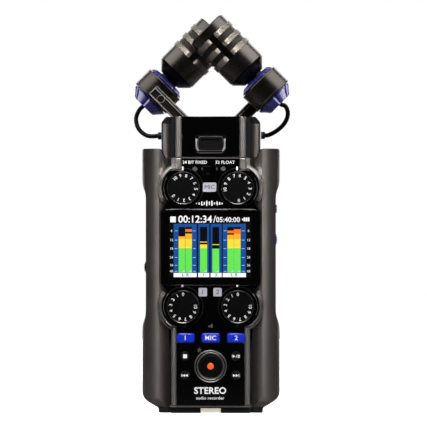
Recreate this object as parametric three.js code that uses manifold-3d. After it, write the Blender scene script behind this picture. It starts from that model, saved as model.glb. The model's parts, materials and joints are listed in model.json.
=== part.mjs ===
// Handheld stereo audio recorder with a plug-in head that carries two crossed microphones.
// Millimetres, +Z up along the recorder. The front looks along -Y. The origin is under the
// middle of the whole object, at the foot that it stands on.
import * as THREE from "three";
import { mergeVertices } from "three/addons/utils/BufferGeometryUtils.js";
import Module from "manifold-3d";

const wasm = await Module();
wasm.setup();

// ---------------------------------------------------------------- driving dimensions
const GAP = 0.3; // between two pieces that meet
const FAR = 60; // reach of a cutting tool that only has to pass right through

const BODY = {
  half: 34.5, // half width at the shoulders and at the lower grip
  waist: 32.5, // half width between them
  foot: 26, // half width of the foot
  footHeight: 2.4,
  chamferTop: 7.6,
  waistLow: [43, 48.5],
  waistHigh: [109.5, 114.5],
  top: 132,
  dock: 127.3, // floor of the notch that the head sits in
  seam: 2, // y of the joint between the two shells
  deck: -18.2, // y of the front shell's flat middle
  crest: -18.8,
  rear: 22,
  floor: 3.5, // inside of the bottom wall
  ceiling: 124.3, // inside of the top wall
  innerHalf: 30.3,
  innerFront: -16.2,
  innerRear: 20,
};
const PANEL = {
  front: -20.5,
  back: BODY.crest - 0.1,
  spineHigh: 14.3, // half widths of the glossy panel's narrow parts
  spineLow: 16.9,
  low: 3.9,
  high: 127.0,
  screenHalf: 24.7,
  screenZ: [65, 100.5],
  screenCorner: [20.8, 59.3, 106.3],
  lobe: 10.6,
  well: 10.2,
  wellFloor: -19.5,
};
const LENS = { width: 47.6, height: 37.6, z: 82.9, front: -20.9 };
const KNOB = { radius: 8.25, front: -24.5, back: -19.8, stem: 3.0, end: -12, hole: 4.2 };
const KNOBS = {
  mic_left: [-13.5, 112.3],
  mic_right: [13.5, 112.3],
  input_1: [-13.6, 53.2],
  input_2: [13.6, 53.2],
};
const BOARD = { front: -10.5, back: -9 };
const POT = { front: -15.9, floor: -11.7 }; // gain potentiometers, soldered to the board
const GUARD = { inner: 10.9, outer: 12.9, front: -23.2, nearScreen: 38, nearSpine: 70 };
const STRIP_LOW = { x: [17.2, 19.4], z: [3.7, 42.8] };
const STRIP_HIGH = { x: [14.6, 17.4], z: [121.2, BODY.dock] };
const STRIP_FRONT = -20.6;

const TRACK = { width: 9.1, height: 4.6, z: 37.6, x: [-12.6, 0, 12.8] };
const TRANSPORT = {
  stop_button: [-12.7, 28.5],
  play_button: [12.7, 28.5],
  rewind_button: [-12.8, 18.9],
  forward_button: [12.7, 18.9],
};
const TRANSPORT_RADIUS = 2.3;
const RECORD = { x: 0, z: 23.5, radius: 6.1, cap: 5.1, ringInner: 6.5, ringOuter: 8.0, hole: 8.3 };
const BUTTON_BACK = -16.1;
const BUTTON_FRONT = -21.3;
const BUTTON_CLEAR = 0.25;
const FORMAT = { x: -0.5, half: 3.0, z: 120.9, height: 4.2, knobHalf: 1.6, knobX: -1.9 };

const WHEEL = { x: -28.2, z: 72.6, radius: 5.6, y: [-6, -2] };
const DIAL = { x: 26.1, z: 86.5, radius: 7.2, y: [-8, -3] };
const POWER = { y: [-6.7, -4.3], z: [100, 104], travel: 3.5 };
const CARD_DOOR = { x: [31.4, 32.4], y: [-9.5, -3.0], z: [57, 74] };
const PHONES = { y: -5.7, z: 92, bore: 1.75, nose: 2.6 };
const USB = { y: [-8.6, -5.4], z: [49.5, 58.5] };

const JACK = { x: 13.6, y: 3, half: 12.4, depth: 12.9, top: 24, nose: 11.0, bore: 9.6, core: 7.3 };
const LATCH = { half: 3.2, y: [16.7, 19.3], z: [0.6, 9.5] };
const BAY = { half: 29.3, z: [38.5, 92.5], floor: 5.2, wall: 1.4 };
const CELL = { count: 4, radius: 7.1, length: 50.4, pitch: 14.6, y: 12.6, low: 40.3 };
const DOOR = { half: 29.4, z: [37.2, 97.6], y: [20.05, 21.95] };
const SCREW = { x: 26, z: 29.5, head: 2.6, shank: 1.0 };
const BUSH = { z: 29.5, radius: 4.6, bore: 3.1, flange: 5.6 };
const SPEAKER = { z: 112, radius: 8 };
const STRAP = { half: 6.0, visible: 5.0, z: [0.3, 2.3], y: [-17.6, -15.8] };

const HEAD = {
  half: 24.8, // half width over the wings
  z: [127.6, 148],
  rear: 17,
  tenonHalf: 15,
  tenonDepth: 4.5,
  tenonLow: 119.5,
};
const RELEASE = { z: 134.5, half: 5.9, halfHeight: 3.2, openHalf: 7.6, openHalfHeight: 4.55 };
const MIC = {
  crossing: 189.3, // height at which both microphone axes cross the middle plane
  offset: 13.5, // of each axis from the middle plane, along y
  front: 3.5, // along the axis from the crossing, towards the sound
  radius: 10.9,
  rib: 11.3,
  neck: 10.7,
  ribs: [-1.4, -7.4, -13.2],
  ribLength: 2.9,
  rear: -25.6,
  coneRadius: 6.1,
  stem: 4.9,
  stemEnd: -46,
};
const RING = { inner: 9.6, outer: 11.1, z: [-44.1, -34.8] };
const ARM = { width: 6.2, z: -40.2, x: [-24.5, 2.5], y: [11.4, 15.6] };
const CABLE = {
  radius: 1.2,
  sides: 8,
  steps: 20,
  start: 46.9, // distances from the crossing, along the microphone's axis
  straight: 49.6,
  bend: {
    right: [
      [37.3, -13.1, 153.3],
      [38.5, -12.3, 150.3],
      [38.0, -10.9, 147.0],
      [36.0, -9.0, 143.8],
      [32.7, -6.8, 141.0],
      [29.2, -4.4, 139.2],
    ],
    left: [
      [36.9, -13.1, 152.3],
      [38.3, -12.3, 149.2],
      [38.4, -11.1, 146.4],
      [37.4, -9.5, 143.2],
      [35.2, -7.9, 140.6],
      [32.3, -6.2, 139.0],
      [29.2, -4.4, 138.7],
    ],
  },
};
const GLAND = { x: [25.1, 27.1], y: -4, z: 138.9, radius: 1.9 };

// ---------------------------------------------------------------- materials
const finish = (color, roughness, metalness = 0) =>
  new THREE.MeshStandardMaterial({ color, roughness, metalness });
const MATERIALS = {
  shell: finish(0x57504c, 0.42, 0.5),
  gloss: finish(0x0a0a0c, 0.12),
  rubber: finish(0x17171a, 0.7),
  lens: finish(0x050507, 0.05),
  screen: finish(0x1c4a9c, 0.3),
  board: finish(0x16402c, 0.6),
  blue: finish(0x1c2fd0, 0.35),
  elastomer: finish(0x3a35a8, 0.45),
  metal: finish(0x8d8780, 0.3, 0.9),
  mesh: finish(0x3d332b, 0.5, 0.7),
  strap: finish(0xd8d2c4, 0.3, 0.8),
  black: finish(0x1b1b1d, 0.5),
  brass: finish(0xb08d57, 0.3, 0.9),
};

// ---------------------------------------------------------------- solids
// A closed geometry as a manifold-3d solid.
function solid(geometry) {
  const bare = geometry.index ? geometry.toNonIndexed() : geometry.clone();
  bare.deleteAttribute("normal");
  bare.deleteAttribute("uv");
  const merged = mergeVertices(bare, 1e-4);
  const made = new wasm.Mesh({
    numProp: 3,
    vertProperties: merged.attributes.position.array,
    triVerts: new Uint32Array(merged.index.array),
  });
  return new wasm.Manifold(made);
}

// A manifold-3d solid as a geometry.
function geometryOf(manifold) {
  const { numProp, numVert, vertProperties, triVerts } = manifold.getMesh();
  const position = new Float32Array(numVert * 3);
  for (let i = 0; i < numVert; i++) {
    position.set(vertProperties.subarray(i * numProp, i * numProp + 3), i * 3);
  }
  const geometry = new THREE.BufferGeometry();
  geometry.setAttribute("position", new THREE.BufferAttribute(position, 3));
  geometry.setIndex(new THREE.BufferAttribute(triVerts, 1));
  geometry.computeVertexNormals();
  return geometry;
}

const joined = (...solids) => solids.reduce((all, one) => all.add(one));
const less = (from, ...tools) => tools.reduce((left, tool) => left.subtract(tool), from);

function polygon(points) {
  return new THREE.Shape(points.map(([x, y]) => new THREE.Vector2(x, y)));
}

// A shape from its right half, listed from the bottom up: the left half is its mirror image.
function mirrored(points) {
  const left = points.map(([x, y]) => [-x, y]).reverse();
  return polygon([...points, ...left]);
}

function roundedRect(x, y, width, height, radius) {
  const [l, r, b, t] = [x - width / 2, x + width / 2, y - height / 2, y + height / 2];
  const shape = new THREE.Shape();
  shape.absarc(r - radius, b + radius, radius, -Math.PI / 2, 0);
  shape.absarc(r - radius, t - radius, radius, 0, Math.PI / 2);
  shape.absarc(l + radius, t - radius, radius, Math.PI / 2, Math.PI);
  shape.absarc(l + radius, b + radius, radius, Math.PI, 1.5 * Math.PI);
  return shape;
}

function circle(x, y, radius) {
  return new THREE.Shape().absarc(x, y, radius, 0, 2 * Math.PI);
}

// Points of an elliptical arc, angles in degrees.
function arc(x, y, rx, ry, from, to, steps) {
  return Array.from({ length: steps + 1 }, (_, i) => {
    const angle = THREE.MathUtils.degToRad(from + ((to - from) * i) / steps);
    return [x + rx * Math.cos(angle), y + ry * Math.sin(angle)];
  });
}

// Part of a flat ring, angles in degrees.
function sector(x, y, inner, outer, from, to, steps) {
  const out = arc(x, y, outer, outer, from, to, steps);
  const back = arc(x, y, inner, inner, to, from, steps);
  return polygon([...out, ...back]);
}

function extruded(shape, depth, curveSegments) {
  return new THREE.ExtrudeGeometry(shape, { depth, bevelEnabled: false, curveSegments });
}

// A shape drawn in x and z, with thickness between two values of y.
function plate(shape, [front, back], curveSegments = 8) {
  const made = extruded(shape, back - front, curveSegments);
  return solid(made.rotateX(Math.PI / 2).translate(0, back, 0));
}

// A shape drawn in x and y, with height between two values of z.
function column(shape, [low, high], curveSegments = 8) {
  return solid(extruded(shape, high - low, curveSegments).translate(0, 0, low));
}

// A shape drawn in y and z, running between two values of x.
function beam(shape, [from, to], curveSegments = 8) {
  const turn = new THREE.Matrix4().set(0, 0, 1, from, 1, 0, 0, 0, 0, 1, 0, 0, 0, 0, 0, 1);
  return solid(extruded(shape, to - from, curveSegments).applyMatrix4(turn));
}

function box([x0, x1], [y0, y1], [z0, z1]) {
  const made = new THREE.BoxGeometry(x1 - x0, y1 - y0, z1 - z0);
  return solid(made.translate((x0 + x1) / 2, (y0 + y1) / 2, (z0 + z1) / 2));
}

// A solid of revolution about the line along y through (x, z). The profile lists radius and y.
function turnedY(profile, x, z, segments = 20) {
  const points = profile.map(([r, y]) => new THREE.Vector2(r, y));
  return solid(new THREE.LatheGeometry(points, segments).translate(x, 0, z));
}

// A solid of revolution about the z axis. The profile lists radius and z.
function turnedZ(profile, segments = 24) {
  const points = profile.map(([r, z]) => new THREE.Vector2(r, z));
  return solid(new THREE.LatheGeometry(points, segments).rotateX(Math.PI / 2));
}

const recorder = new THREE.Group();

function piece(name, made, material, parent = recorder) {
  const mesh = new THREE.Mesh(geometryOf(made), MATERIALS[material]);
  mesh.name = name;
  parent.add(mesh);
  return mesh;
}

const outward = ([a, b], by) => [a - by, b + by];
const centred = (middle, half) => [middle - half, middle + half];

// ---------------------------------------------------------------- outlines
const bodyOutline = mirrored([
  [BODY.foot, 0],
  [BODY.foot, BODY.footHeight],
  [BODY.half, BODY.chamferTop],
  [BODY.half, BODY.waistLow[0]],
  [BODY.waist, BODY.waistLow[1]],
  [BODY.waist, BODY.waistHigh[0]],
  [BODY.half, BODY.waistHigh[1]],
  [BODY.half, BODY.top],
  [25.8, BODY.top],
  [23.8, BODY.dock],
]);

const side = BODY.half + 0.1;
const frontSection = mirrored([
  [20.5, BODY.deck],
  [24, BODY.crest + 0.15],
  ...arc(26.6, -8, side - 26.6, -8 - BODY.crest, -90, 0, 7),
  [side, BODY.seam - GAP / 2],
]);
const rearSection = mirrored([
  [side, BODY.seam + GAP / 2],
  ...arc(29.8, 14, side - 29.8, BODY.rear - 14, 0, 90, 6),
]);
const frontCavity = mirrored([
  [24, BODY.innerFront],
  [BODY.innerHalf, -9],
  [BODY.innerHalf, BODY.seam],
]);
const rearCavity = mirrored([
  [BODY.innerHalf, BODY.seam],
  [BODY.innerHalf, 14],
  [27.5, BODY.innerRear],
]);

// ---------------------------------------------------------------- openings in the front
const trackShape = (x, grow) =>
  roundedRect(x, TRACK.z, TRACK.width + 2 * grow, TRACK.height + 2 * grow, 1.2);

// What every front opening removes: clearance holes for the buttons, the switch and the screen.
function frontOpenings(y) {
  const switchHeight = FORMAT.height / 2 + BUTTON_CLEAR;
  return [
    ...TRACK.x.map((x) => plate(trackShape(x, BUTTON_CLEAR), y, 2)),
    ...Object.values(TRANSPORT).map(([x, z]) =>
      plate(circle(x, z, TRANSPORT_RADIUS + BUTTON_CLEAR), y, 6)),
    ...Object.values(KNOBS).map(([x, z]) => plate(circle(x, z, KNOB.hole), y, 6)),
    box(centred(FORMAT.x, FORMAT.half + BUTTON_CLEAR), y, centred(FORMAT.z, switchHeight)),
  ];
}

// ---------------------------------------------------------------- front shell
function strips() {
  const rib = ({ x: [x0, x1], z }) =>
    polygon([[x0, z[0]], [x1, z[0]], [x1, z[1]], [x0, z[1]]]);
  const y = [STRIP_FRONT, BODY.deck + 0.5];
  return [STRIP_LOW, STRIP_HIGH].flatMap((strip) => [
    plate(rib(strip), y),
    plate(rib({ x: strip.x.map((x) => -x), z: strip.z }), y).asOriginal(),
  ]);
}

// The raised arc beside each knob, on the side away from the middle.
function guards() {
  return Object.values(KNOBS).map(([x, z]) => {
    const out = Math.sign(x);
    const up = z > LENS.z ? 1 : -1;
    const ends = [-GUARD.nearScreen * up, GUARD.nearSpine * up].map((a) => (out > 0 ? a : 180 - a));
    const [from, to] = ends.sort((a, b) => a - b);
    const shape = sector(x, z, GUARD.inner, GUARD.outer, from, to, 8);
    return plate(shape, [GUARD.front, BODY.deck + 1]);
  });
}

function jackOpenings() {
  return [-1, 1].flatMap((s) => [
    column(circle(s * JACK.x, JACK.y, JACK.nose + GAP), [-1, BODY.floor + 1], 10),
    box(
      centred(s * JACK.x, LATCH.half + GAP),
      outward(LATCH.y, GAP),
      [-1, BODY.floor + 1],
    ),
  ]);
}

const tenonHole = box(
  centred(0, HEAD.tenonHalf + GAP),
  centred(0, HEAD.tenonDepth + GAP),
  [HEAD.tenonLow - 0.5, BODY.top],
);

function frontShell() {
  const blank = plate(bodyOutline, [-FAR / 2, BODY.seam - GAP / 2])
    .intersect(column(frontSection, [-1, BODY.top + 1]));
  const hollow = column(frontCavity, [BODY.floor, BODY.ceiling]);
  const bosses = [-1, 1].map((s) =>
    plate(circle(s * SCREW.x, SCREW.z, 3.4), [BODY.innerFront - 0.5, BODY.seam - GAP / 2], 6));
  const bossHoles = [-1, 1].map((s) =>
    plate(circle(s * SCREW.x, SCREW.z, SCREW.shank + GAP), [-9, FAR], 6));
  const body = joined(less(blank, hollow), ...strips(), ...guards(), ...bosses);
  const through = [-FAR / 2, BODY.innerFront + 1];
  return less(
    body,
    ...frontOpenings(through),
    plate(circle(RECORD.x, RECORD.z, RECORD.cap + BUTTON_CLEAR), through),
    box([-22, 22], through, centred(LENS.z, 17.3)),
    ...bossHoles,
    ...jackOpenings(),
    tenonHole,
    box([-FAR, -BODY.innerHalf + 1], outward(WHEEL.y, 0.4), centred(WHEEL.z, 6)),
    box([BODY.innerHalf - 1, FAR], outward(DIAL.y, 0.4), centred(DIAL.z, 7.6)),
    box([BODY.innerHalf - 1, FAR], outward(POWER.y, GAP), [99.6, 107.9]),
    box([CARD_DOOR.x[0] - GAP, FAR], [CARD_DOOR.y[0] - GAP, -2.2], outward(CARD_DOOR.z, GAP)),
    box([BODY.innerHalf - 1, FAR], [-8.9, -6.0], [58.5, 71.5]),
    beam(circle(PHONES.y, PHONES.z, PHONES.nose + GAP), [-FAR, -BODY.innerHalf + 1]),
    box([-FAR, -BODY.innerHalf + 1], outward(USB.y, GAP), outward(USB.z, GAP)),
    box(centred(0, STRAP.visible), [-FAR, -13], [-1, 3.0]),
    box(centred(0, STRAP.half + GAP), outward(STRAP.y, GAP), [-1, STRAP.z[1] + GAP]),
  );
}

// ---------------------------------------------------------------- rear shell
const doorOpening = box(
  centred(0, DOOR.half + GAP),
  [DOOR.y[0] - 0.25, FAR],
  [DOOR.z[0] - GAP, DOOR.z[1] + 1.3],
);

// Rows of small round holes over the speaker.
function speakerHoles() {
  const rows = [
    [0, [-5.4, -1.8, 1.8, 5.4]],
    [3.2, [-3.6, 0, 3.6]],
    [-3.2, [-3.6, 0, 3.6]],
  ];
  return rows.flatMap(([dz, xs]) =>
    xs.map((x) => plate(circle(x, SPEAKER.z + dz, 0.8), [BODY.innerRear - 1, FAR], 4)));
}

function rearShell() {
  const blank = plate(bodyOutline, [BODY.seam + GAP / 2, FAR])
    .intersect(column(rearSection, [-1, BODY.top + 1]));
  const hollow = column(rearCavity, [BODY.floor, BODY.ceiling]);
  const [bayLow, bayHigh] = outward(BAY.z, BAY.wall);
  const tray = box(
    centred(0, BODY.innerHalf + 0.5),
    [BAY.floor - BAY.wall, BODY.innerRear + 0.5],
    [bayLow, bayHigh],
  );
  const hingeShelf = box(centred(0, 28), [17.6, BODY.innerRear + 0.5], [bayHigh - 1, 101]);
  const bosses = [-1, 1].map((s) =>
    plate(circle(s * SCREW.x, SCREW.z, 3.4), [BODY.seam + GAP / 2, BODY.innerRear + 0.5], 6));
  return less(
    joined(less(blank, hollow), tray, hingeShelf, ...bosses),
    box(centred(0, BAY.half), [BAY.floor, FAR / 2], BAY.z),
    doorOpening,
    ...speakerHoles(),
    ...[-1, 1].flatMap((s) => [
      plate(circle(s * SCREW.x, SCREW.z, SCREW.shank + 0.4), [0, FAR], 6),
      plate(circle(s * SCREW.x, SCREW.z, SCREW.head + GAP), [BODY.innerRear + 0.3, FAR], 6),
    ]),
    plate(circle(0, BUSH.z, BUSH.radius + GAP), [BODY.innerRear - 1, FAR]),
    ...jackOpenings(),
    tenonHole,
  );
}

// ---------------------------------------------------------------- front panel, lens and screen
function frontPanel() {
  const [cornerX, cornerLow, cornerHigh] = PANEL.screenCorner;
  const y = [PANEL.front, PANEL.back];
  const screen = mirrored([
    [cornerX, cornerLow],
    [PANEL.screenHalf, PANEL.screenZ[0]],
    [PANEL.screenHalf, PANEL.screenZ[1]],
    [cornerX, cornerHigh],
  ]);
  const lobes = Object.values(KNOBS).map(([x, z]) => plate(circle(x, z, PANEL.lobe), y, 10));
  const wells = Object.values(KNOBS).map(([x, z]) =>
    plate(circle(x, z, PANEL.well), [-FAR, PANEL.wellFloor], 10));
  const stripRoom = [-1, 1].map((s) => {
    const x = [s * (STRIP_HIGH.x[0] - GAP), s * (STRIP_HIGH.x[1] + 6)].sort((a, b) => a - b);
    return box(x, [-FAR, 0], [STRIP_HIGH.z[0] - GAP, FAR * 3]);
  });
  return less(
    joined(
      plate(screen, y),
      box(centred(0, PANEL.spineHigh), y, [100, PANEL.high]),
      box(centred(0, PANEL.spineLow), y, [PANEL.low, 62]),
      ...lobes,
    ),
    ...wells,
    ...stripRoom,
    ...frontOpenings([-FAR, 0]),
    plate(circle(RECORD.x, RECORD.z, RECORD.hole), [-FAR, 0], 10),
    plate(roundedRect(0, LENS.z, LENS.width + 0.6, LENS.height + 0.6, 2), [-FAR, 0], 2),
  );
}

function frontPieces() {
  piece("front_shell", frontShell(), "shell");
  piece("front_panel", frontPanel(), "gloss");
  const lens = roundedRect(0, LENS.z, LENS.width, LENS.height, 1.8);
  piece("display_lens", plate(lens, [LENS.front, PANEL.back], 2), "lens");
  piece("lcd_module", box([-21.5, 21.5], [BODY.deck, -15.6], centred(LENS.z, 16.8)), "screen");
  const pots = Object.values(KNOBS).map(([x, z]) =>
    less(
      box(centred(x, 5.5), [POT.front, BOARD.front + 0.5], centred(z, 5.5)),
      plate(circle(x, z, KNOB.stem + GAP), [-FAR, POT.floor], 6),
    ));
  const board = box([-27, 27], [BOARD.front, BOARD.back], [34, 122]);
  piece("main_board", joined(board, ...pots), "board");
  piece("button_board", box([-20, 20], [-15.2, -14], [8, 44]), "board");
  const recordRing = turnedY(
    [
      [RECORD.ringInner, PANEL.back],
      [RECORD.ringOuter, PANEL.back],
      [RECORD.ringOuter, -21.2],
      [RECORD.ringOuter - 0.5, -21.6],
      [RECORD.ringInner + 0.3, -21.6],
      [RECORD.ringInner, -21.3],
      [RECORD.ringInner, PANEL.back],
    ].reverse(),
    RECORD.x,
    RECORD.z,
  );
  piece("record_ring", recordRing, "metal");
  const strap = roundedRect(-16.7, 1.3, STRAP.y[1] - STRAP.y[0], STRAP.z[1] - STRAP.z[0], 0.6);
  piece("strap_bar", beam(strap, centred(0, STRAP.half), 2), "strap");
}

// ---------------------------------------------------------------- knobs and their controls
function knobPieces() {
  for (const [name, [x, z]] of Object.entries(KNOBS)) {
    const knob = turnedY(
      [
        [0, KNOB.front],
        [KNOB.radius - 0.9, KNOB.front],
        [KNOB.radius, KNOB.front + 0.6],
        [KNOB.radius, KNOB.back],
        [KNOB.stem, KNOB.back],
        [KNOB.stem, KNOB.end],
        [0, KNOB.end],
      ],
      x,
      z,
      24,
    );
    piece(`gain_knob_${name}`, knob, "rubber");
  }
}

// ---------------------------------------------------------------- buttons and switches
function buttonPieces() {
  const press = [BUTTON_FRONT, BUTTON_BACK];
  ["1", "mic", "2"].forEach((label, i) =>
    piece(`track_button_${label}`, plate(trackShape(TRACK.x[i], 0), press, 2), "blue"));
  for (const [name, [x, z]] of Object.entries(TRANSPORT)) {
    piece(name, plate(circle(x, z, TRANSPORT_RADIUS), [-21.0, BUTTON_BACK], 6), "gloss");
  }
  const record = turnedY(
    [
      [0, -21.5],
      [RECORD.cap - 0.3, -21.5],
      [RECORD.cap, -21.2],
      [RECORD.cap, -20.9],
      [RECORD.radius, -20.7],
      [RECORD.radius, -19.4],
      [RECORD.cap, -19.4],
      [RECORD.cap, BUTTON_BACK],
      [0, BUTTON_BACK],
    ],
    RECORD.x,
    RECORD.z,
  );
  piece("record_button", record, "gloss");
  const slider = joined(
    box(centred(FORMAT.knobX, FORMAT.knobHalf), [-21.4, -15.5], centred(FORMAT.z, FORMAT.height / 2)),
    box(centred(FORMAT.knobX, 4.2), [-15.9, -14.9], centred(FORMAT.z, 2.8)),
  );
  piece("format_switch", slider, "black");
}

function sidePieces() {
  const edgeWheel = ({ x, z, radius, y: [y0, y1] }) =>
    turnedY(
      [[0, y0], [radius - 0.4, y0], [radius, y0 + 0.4], [radius, y1 - 0.4], [radius - 0.4, y1],
        [0, y1]],
      x,
      z,
      24,
    );
  piece("volume_wheel", edgeWheel(WHEEL), "rubber");
  piece("menu_dial", edgeWheel(DIAL), "blue");
  const power = joined(
    box([29.5, 33.2], POWER.y, POWER.z),
    box([28.4, 30.0], outward(POWER.y, 1.6), outward(POWER.z, 1.4)),
  );
  piece("power_switch", power, "black");

  const [x0, x1] = CARD_DOOR.x;
  const hingeY = CARD_DOOR.y[1];
  const half = (x1 - x0) / 2;
  const flap = polygon([
    [x0, CARD_DOOR.y[0]],
    [x1, CARD_DOOR.y[0]],
    ...arc((x0 + x1) / 2, hingeY, half, half, 0, 180, 6),
  ]);
  piece("card_door", column(flap, CARD_DOOR.z), "rubber");
  const cardSlot = box([17, 30.8], [-8.6, -6.3], [59, 71]);
  piece("card_slot", cardSlot.subtract(box([18, 40], [-7.9, -7.0], [59.5, 70.5])), "metal");

  const phones = joined(
    box([-30, -18], [PHONES.y - 3, PHONES.y + 3], centred(PHONES.z, 3)),
    beam(circle(PHONES.y, PHONES.z, PHONES.nose), [-32.3, -29.9]),
  );
  const phonesBore = beam(circle(PHONES.y, PHONES.z, PHONES.bore), [-FAR, -19.5]);
  piece("headphone_jack", phones.subtract(phonesBore), "black");

  const usbY = (USB.y[0] + USB.y[1]) / 2;
  const usbZ = (USB.z[0] + USB.z[1]) / 2;
  const usb = beam(roundedRect(usbY, usbZ, 3.2, 9, 1.5), [-32.2, -24.5], 3);
  const usbMouth = beam(roundedRect(usbY, usbZ, 2.5, 8.3, 1.2), [-FAR, -25.5], 3);
  const tongue = box([-31.4, -25.2], centred(usbY, 0.35), centred(usbZ, 3));
  piece("usb_socket", usb.subtract(usbMouth).add(tongue), "metal");
}

// ---------------------------------------------------------------- rear and foot
function rearPieces() {
  piece("rear_shell", rearShell(), "shell");
  const [y0, y1] = DOOR.y;
  const half = (y1 - y0) / 2;
  const leaf = polygon([
    [y0, DOOR.z[0]],
    [y1, DOOR.z[0]],
    ...arc((y0 + y1) / 2, DOOR.z[1], half, half, 0, 180, 6),
  ]);
  piece("battery_door", beam(leaf, centred(0, DOOR.half)), "shell");

  for (let i = 0; i < CELL.count; i++) {
    const x = (i - (CELL.count - 1) / 2) * CELL.pitch;
    const up = i % 2 === 0;
    const cell = turnedZ(
      [[0, 0], [CELL.radius, 0], [CELL.radius, 49], [2.7, 49], [2.7, CELL.length], [0, CELL.length]],
      20,
    );
    const mesh = piece(`battery_cell_${i + 1}`, cell, "brass");
    mesh.position.set(x, CELL.y, up ? CELL.low : CELL.low + CELL.length);
    mesh.rotation.x = up ? 0 : Math.PI;
  }

  const speaker = turnedY(
    [[0, 13.5], [4, 13.5], [4, 15.5], [SPEAKER.radius, 17.5], [SPEAKER.radius, 19.6], [6.5, 19.6],
      [3, 18], [0, 18]],
    0,
    SPEAKER.z,
  );
  piece("speaker", speaker, "black");
  const bush = turnedY(
    [[0, 13], [BUSH.radius, 13], [BUSH.radius, 17], [BUSH.flange, 17], [BUSH.flange, 19.6],
      [BUSH.radius, 19.6], [BUSH.radius, BODY.rear], [BUSH.bore, BODY.rear], [BUSH.bore, 14.5],
      [0, 14.5]],
    0,
    BUSH.z,
  );
  piece("tripod_bush", bush, "brass");
  for (const s of [-1, 1]) {
    const { head, shank } = SCREW;
    const screw = turnedY(
      [[0, -7], [shank, -7], [shank, 20.6], [head, 20.6], [head, 21.4], [head - 0.5, 21.7],
        [1.1, 21.7], [1.1, 21.0], [0, 21.0]],
      s * SCREW.x,
      SCREW.z,
      12,
    );
    piece(`case_screw_${s < 0 ? "left" : "right"}`, screw, "metal");
  }
}

function jackPieces() {
  for (const [s, label] of [[-1, "1"], [1, "2"]]) {
    const x = s * JACK.x;
    const jack = less(
      joined(
        box(centred(x, JACK.half), centred(JACK.y, JACK.depth), [BODY.floor + GAP, JACK.top]),
        column(circle(x, JACK.y, JACK.nose), [0.4, BODY.floor + 1], 10),
      ),
      column(circle(x, JACK.y, JACK.bore), [-1, 19], 10),
    );
    const core = column(circle(x, JACK.y, JACK.core), [7, 19.5], 8);
    const plugHole = column(circle(x, JACK.y, 3.3), [-1, 22.5], 6);
    piece(`combo_jack_${label}`, jack.add(core).subtract(plugHole), "black");
    const latch = joined(
      box(centred(x, LATCH.half), LATCH.y, LATCH.z),
      box(centred(x, LATCH.half + 1.2), [16.5, 19.5], [4.2, 5.4]),
    );
    piece(`jack_latch_${label}`, latch, "metal");
  }
}

// ---------------------------------------------------------------- plug-in head
const diagonal = new THREE.Matrix4()
  .makeTranslation(0, -MIC.offset, MIC.crossing)
  .multiply(new THREE.Matrix4().makeRotationY(-Math.PI / 4));
const halfTurn = new THREE.Matrix4().makeRotationZ(Math.PI);

// The arm in the microphone's own frame, with grow of extra room on each side.
function armBar(grow) {
  const made = new THREE.BoxGeometry(
    ARM.x[1] - ARM.x[0] + 2 * grow,
    ARM.y[1] - ARM.y[0] + 2 * grow,
    ARM.width + 2 * grow,
  );
  const x = (ARM.x[0] + ARM.x[1]) / 2;
  return made.translate(x, (ARM.y[0] + ARM.y[1]) / 2, ARM.z);
}

function headBase() {
  const outline = mirrored([
    [22.6, HEAD.z[0]],
    [HEAD.half, 132],
    [HEAD.half, 145.2],
    [22.3, HEAD.z[1]],
  ]);
  const section = mirrored([
    [17.8, BODY.deck],
    [17.9, -15.8],
    [20.2, -15.6],
    ...arc(19.8, -8, HEAD.half - 19.8, 7.6, -80, 0, 5),
    [HEAD.half, 13.5],
    [22, HEAD.rear],
  ]);
  const block = plate(outline, [-FAR, FAR]).intersect(column(section, outward(HEAD.z, 1)));
  const pillars = [-1, 1].map((s) => {
    const [inner, outer] = STRIP_HIGH.x;
    const [low, high] = HEAD.z;
    const ends = [[inner, low], [outer, low], [outer, 145.9], [outer - 1.4, high], [inner, high]];
    return plate(polygon(s > 0 ? ends : ends.map(([x, z]) => [-x, z])), [STRIP_FRONT, BODY.deck + 0.5]);
  });
  const tenon = box(
    centred(0, HEAD.tenonHalf),
    centred(0, HEAD.tenonDepth),
    [HEAD.tenonLow, HEAD.z[0] + 1],
  );
  const armRoom = armBar(GAP).applyMatrix4(diagonal);
  const pocket = box(
    centred(0, RELEASE.half + BUTTON_CLEAR),
    [-FAR, -13.8],
    centred(RELEASE.z, RELEASE.halfHeight + BUTTON_CLEAR),
  );
  return less(
    joined(block, ...pillars, tenon),
    solid(armRoom),
    solid(armRoom.clone().applyMatrix4(halfTurn)),
    pocket,
  );
}

function headPieces() {
  piece("head_base", headBase(), "shell");
  const fascia = plate(
    mirrored([[PANEL.spineHigh, HEAD.z[0] + 0.1], [PANEL.spineHigh, HEAD.z[1]]]),
    [PANEL.front, PANEL.back],
  );
  const opening = roundedRect(0, RELEASE.z, 2 * RELEASE.openHalf, 2 * RELEASE.openHalfHeight, 2);
  piece("head_fascia", fascia.subtract(plate(opening, [-FAR, 0], 2)), "gloss");
  const release = roundedRect(0, RELEASE.z, 2 * RELEASE.half, 2 * RELEASE.halfHeight, 1);
  piece("release_button", plate(release, [-19.6, -15], 2), "rubber");
  const socket = box([-17, 17], [-6.5, 6.5], [118, BODY.ceiling - GAP]);
  const socketHole = box(
    centred(0, HEAD.tenonHalf + GAP),
    centred(0, HEAD.tenonDepth + GAP),
    [HEAD.tenonLow - 0.4, FAR * 3],
  );
  piece("head_socket", socket.subtract(socketHole), "black");
}

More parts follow.
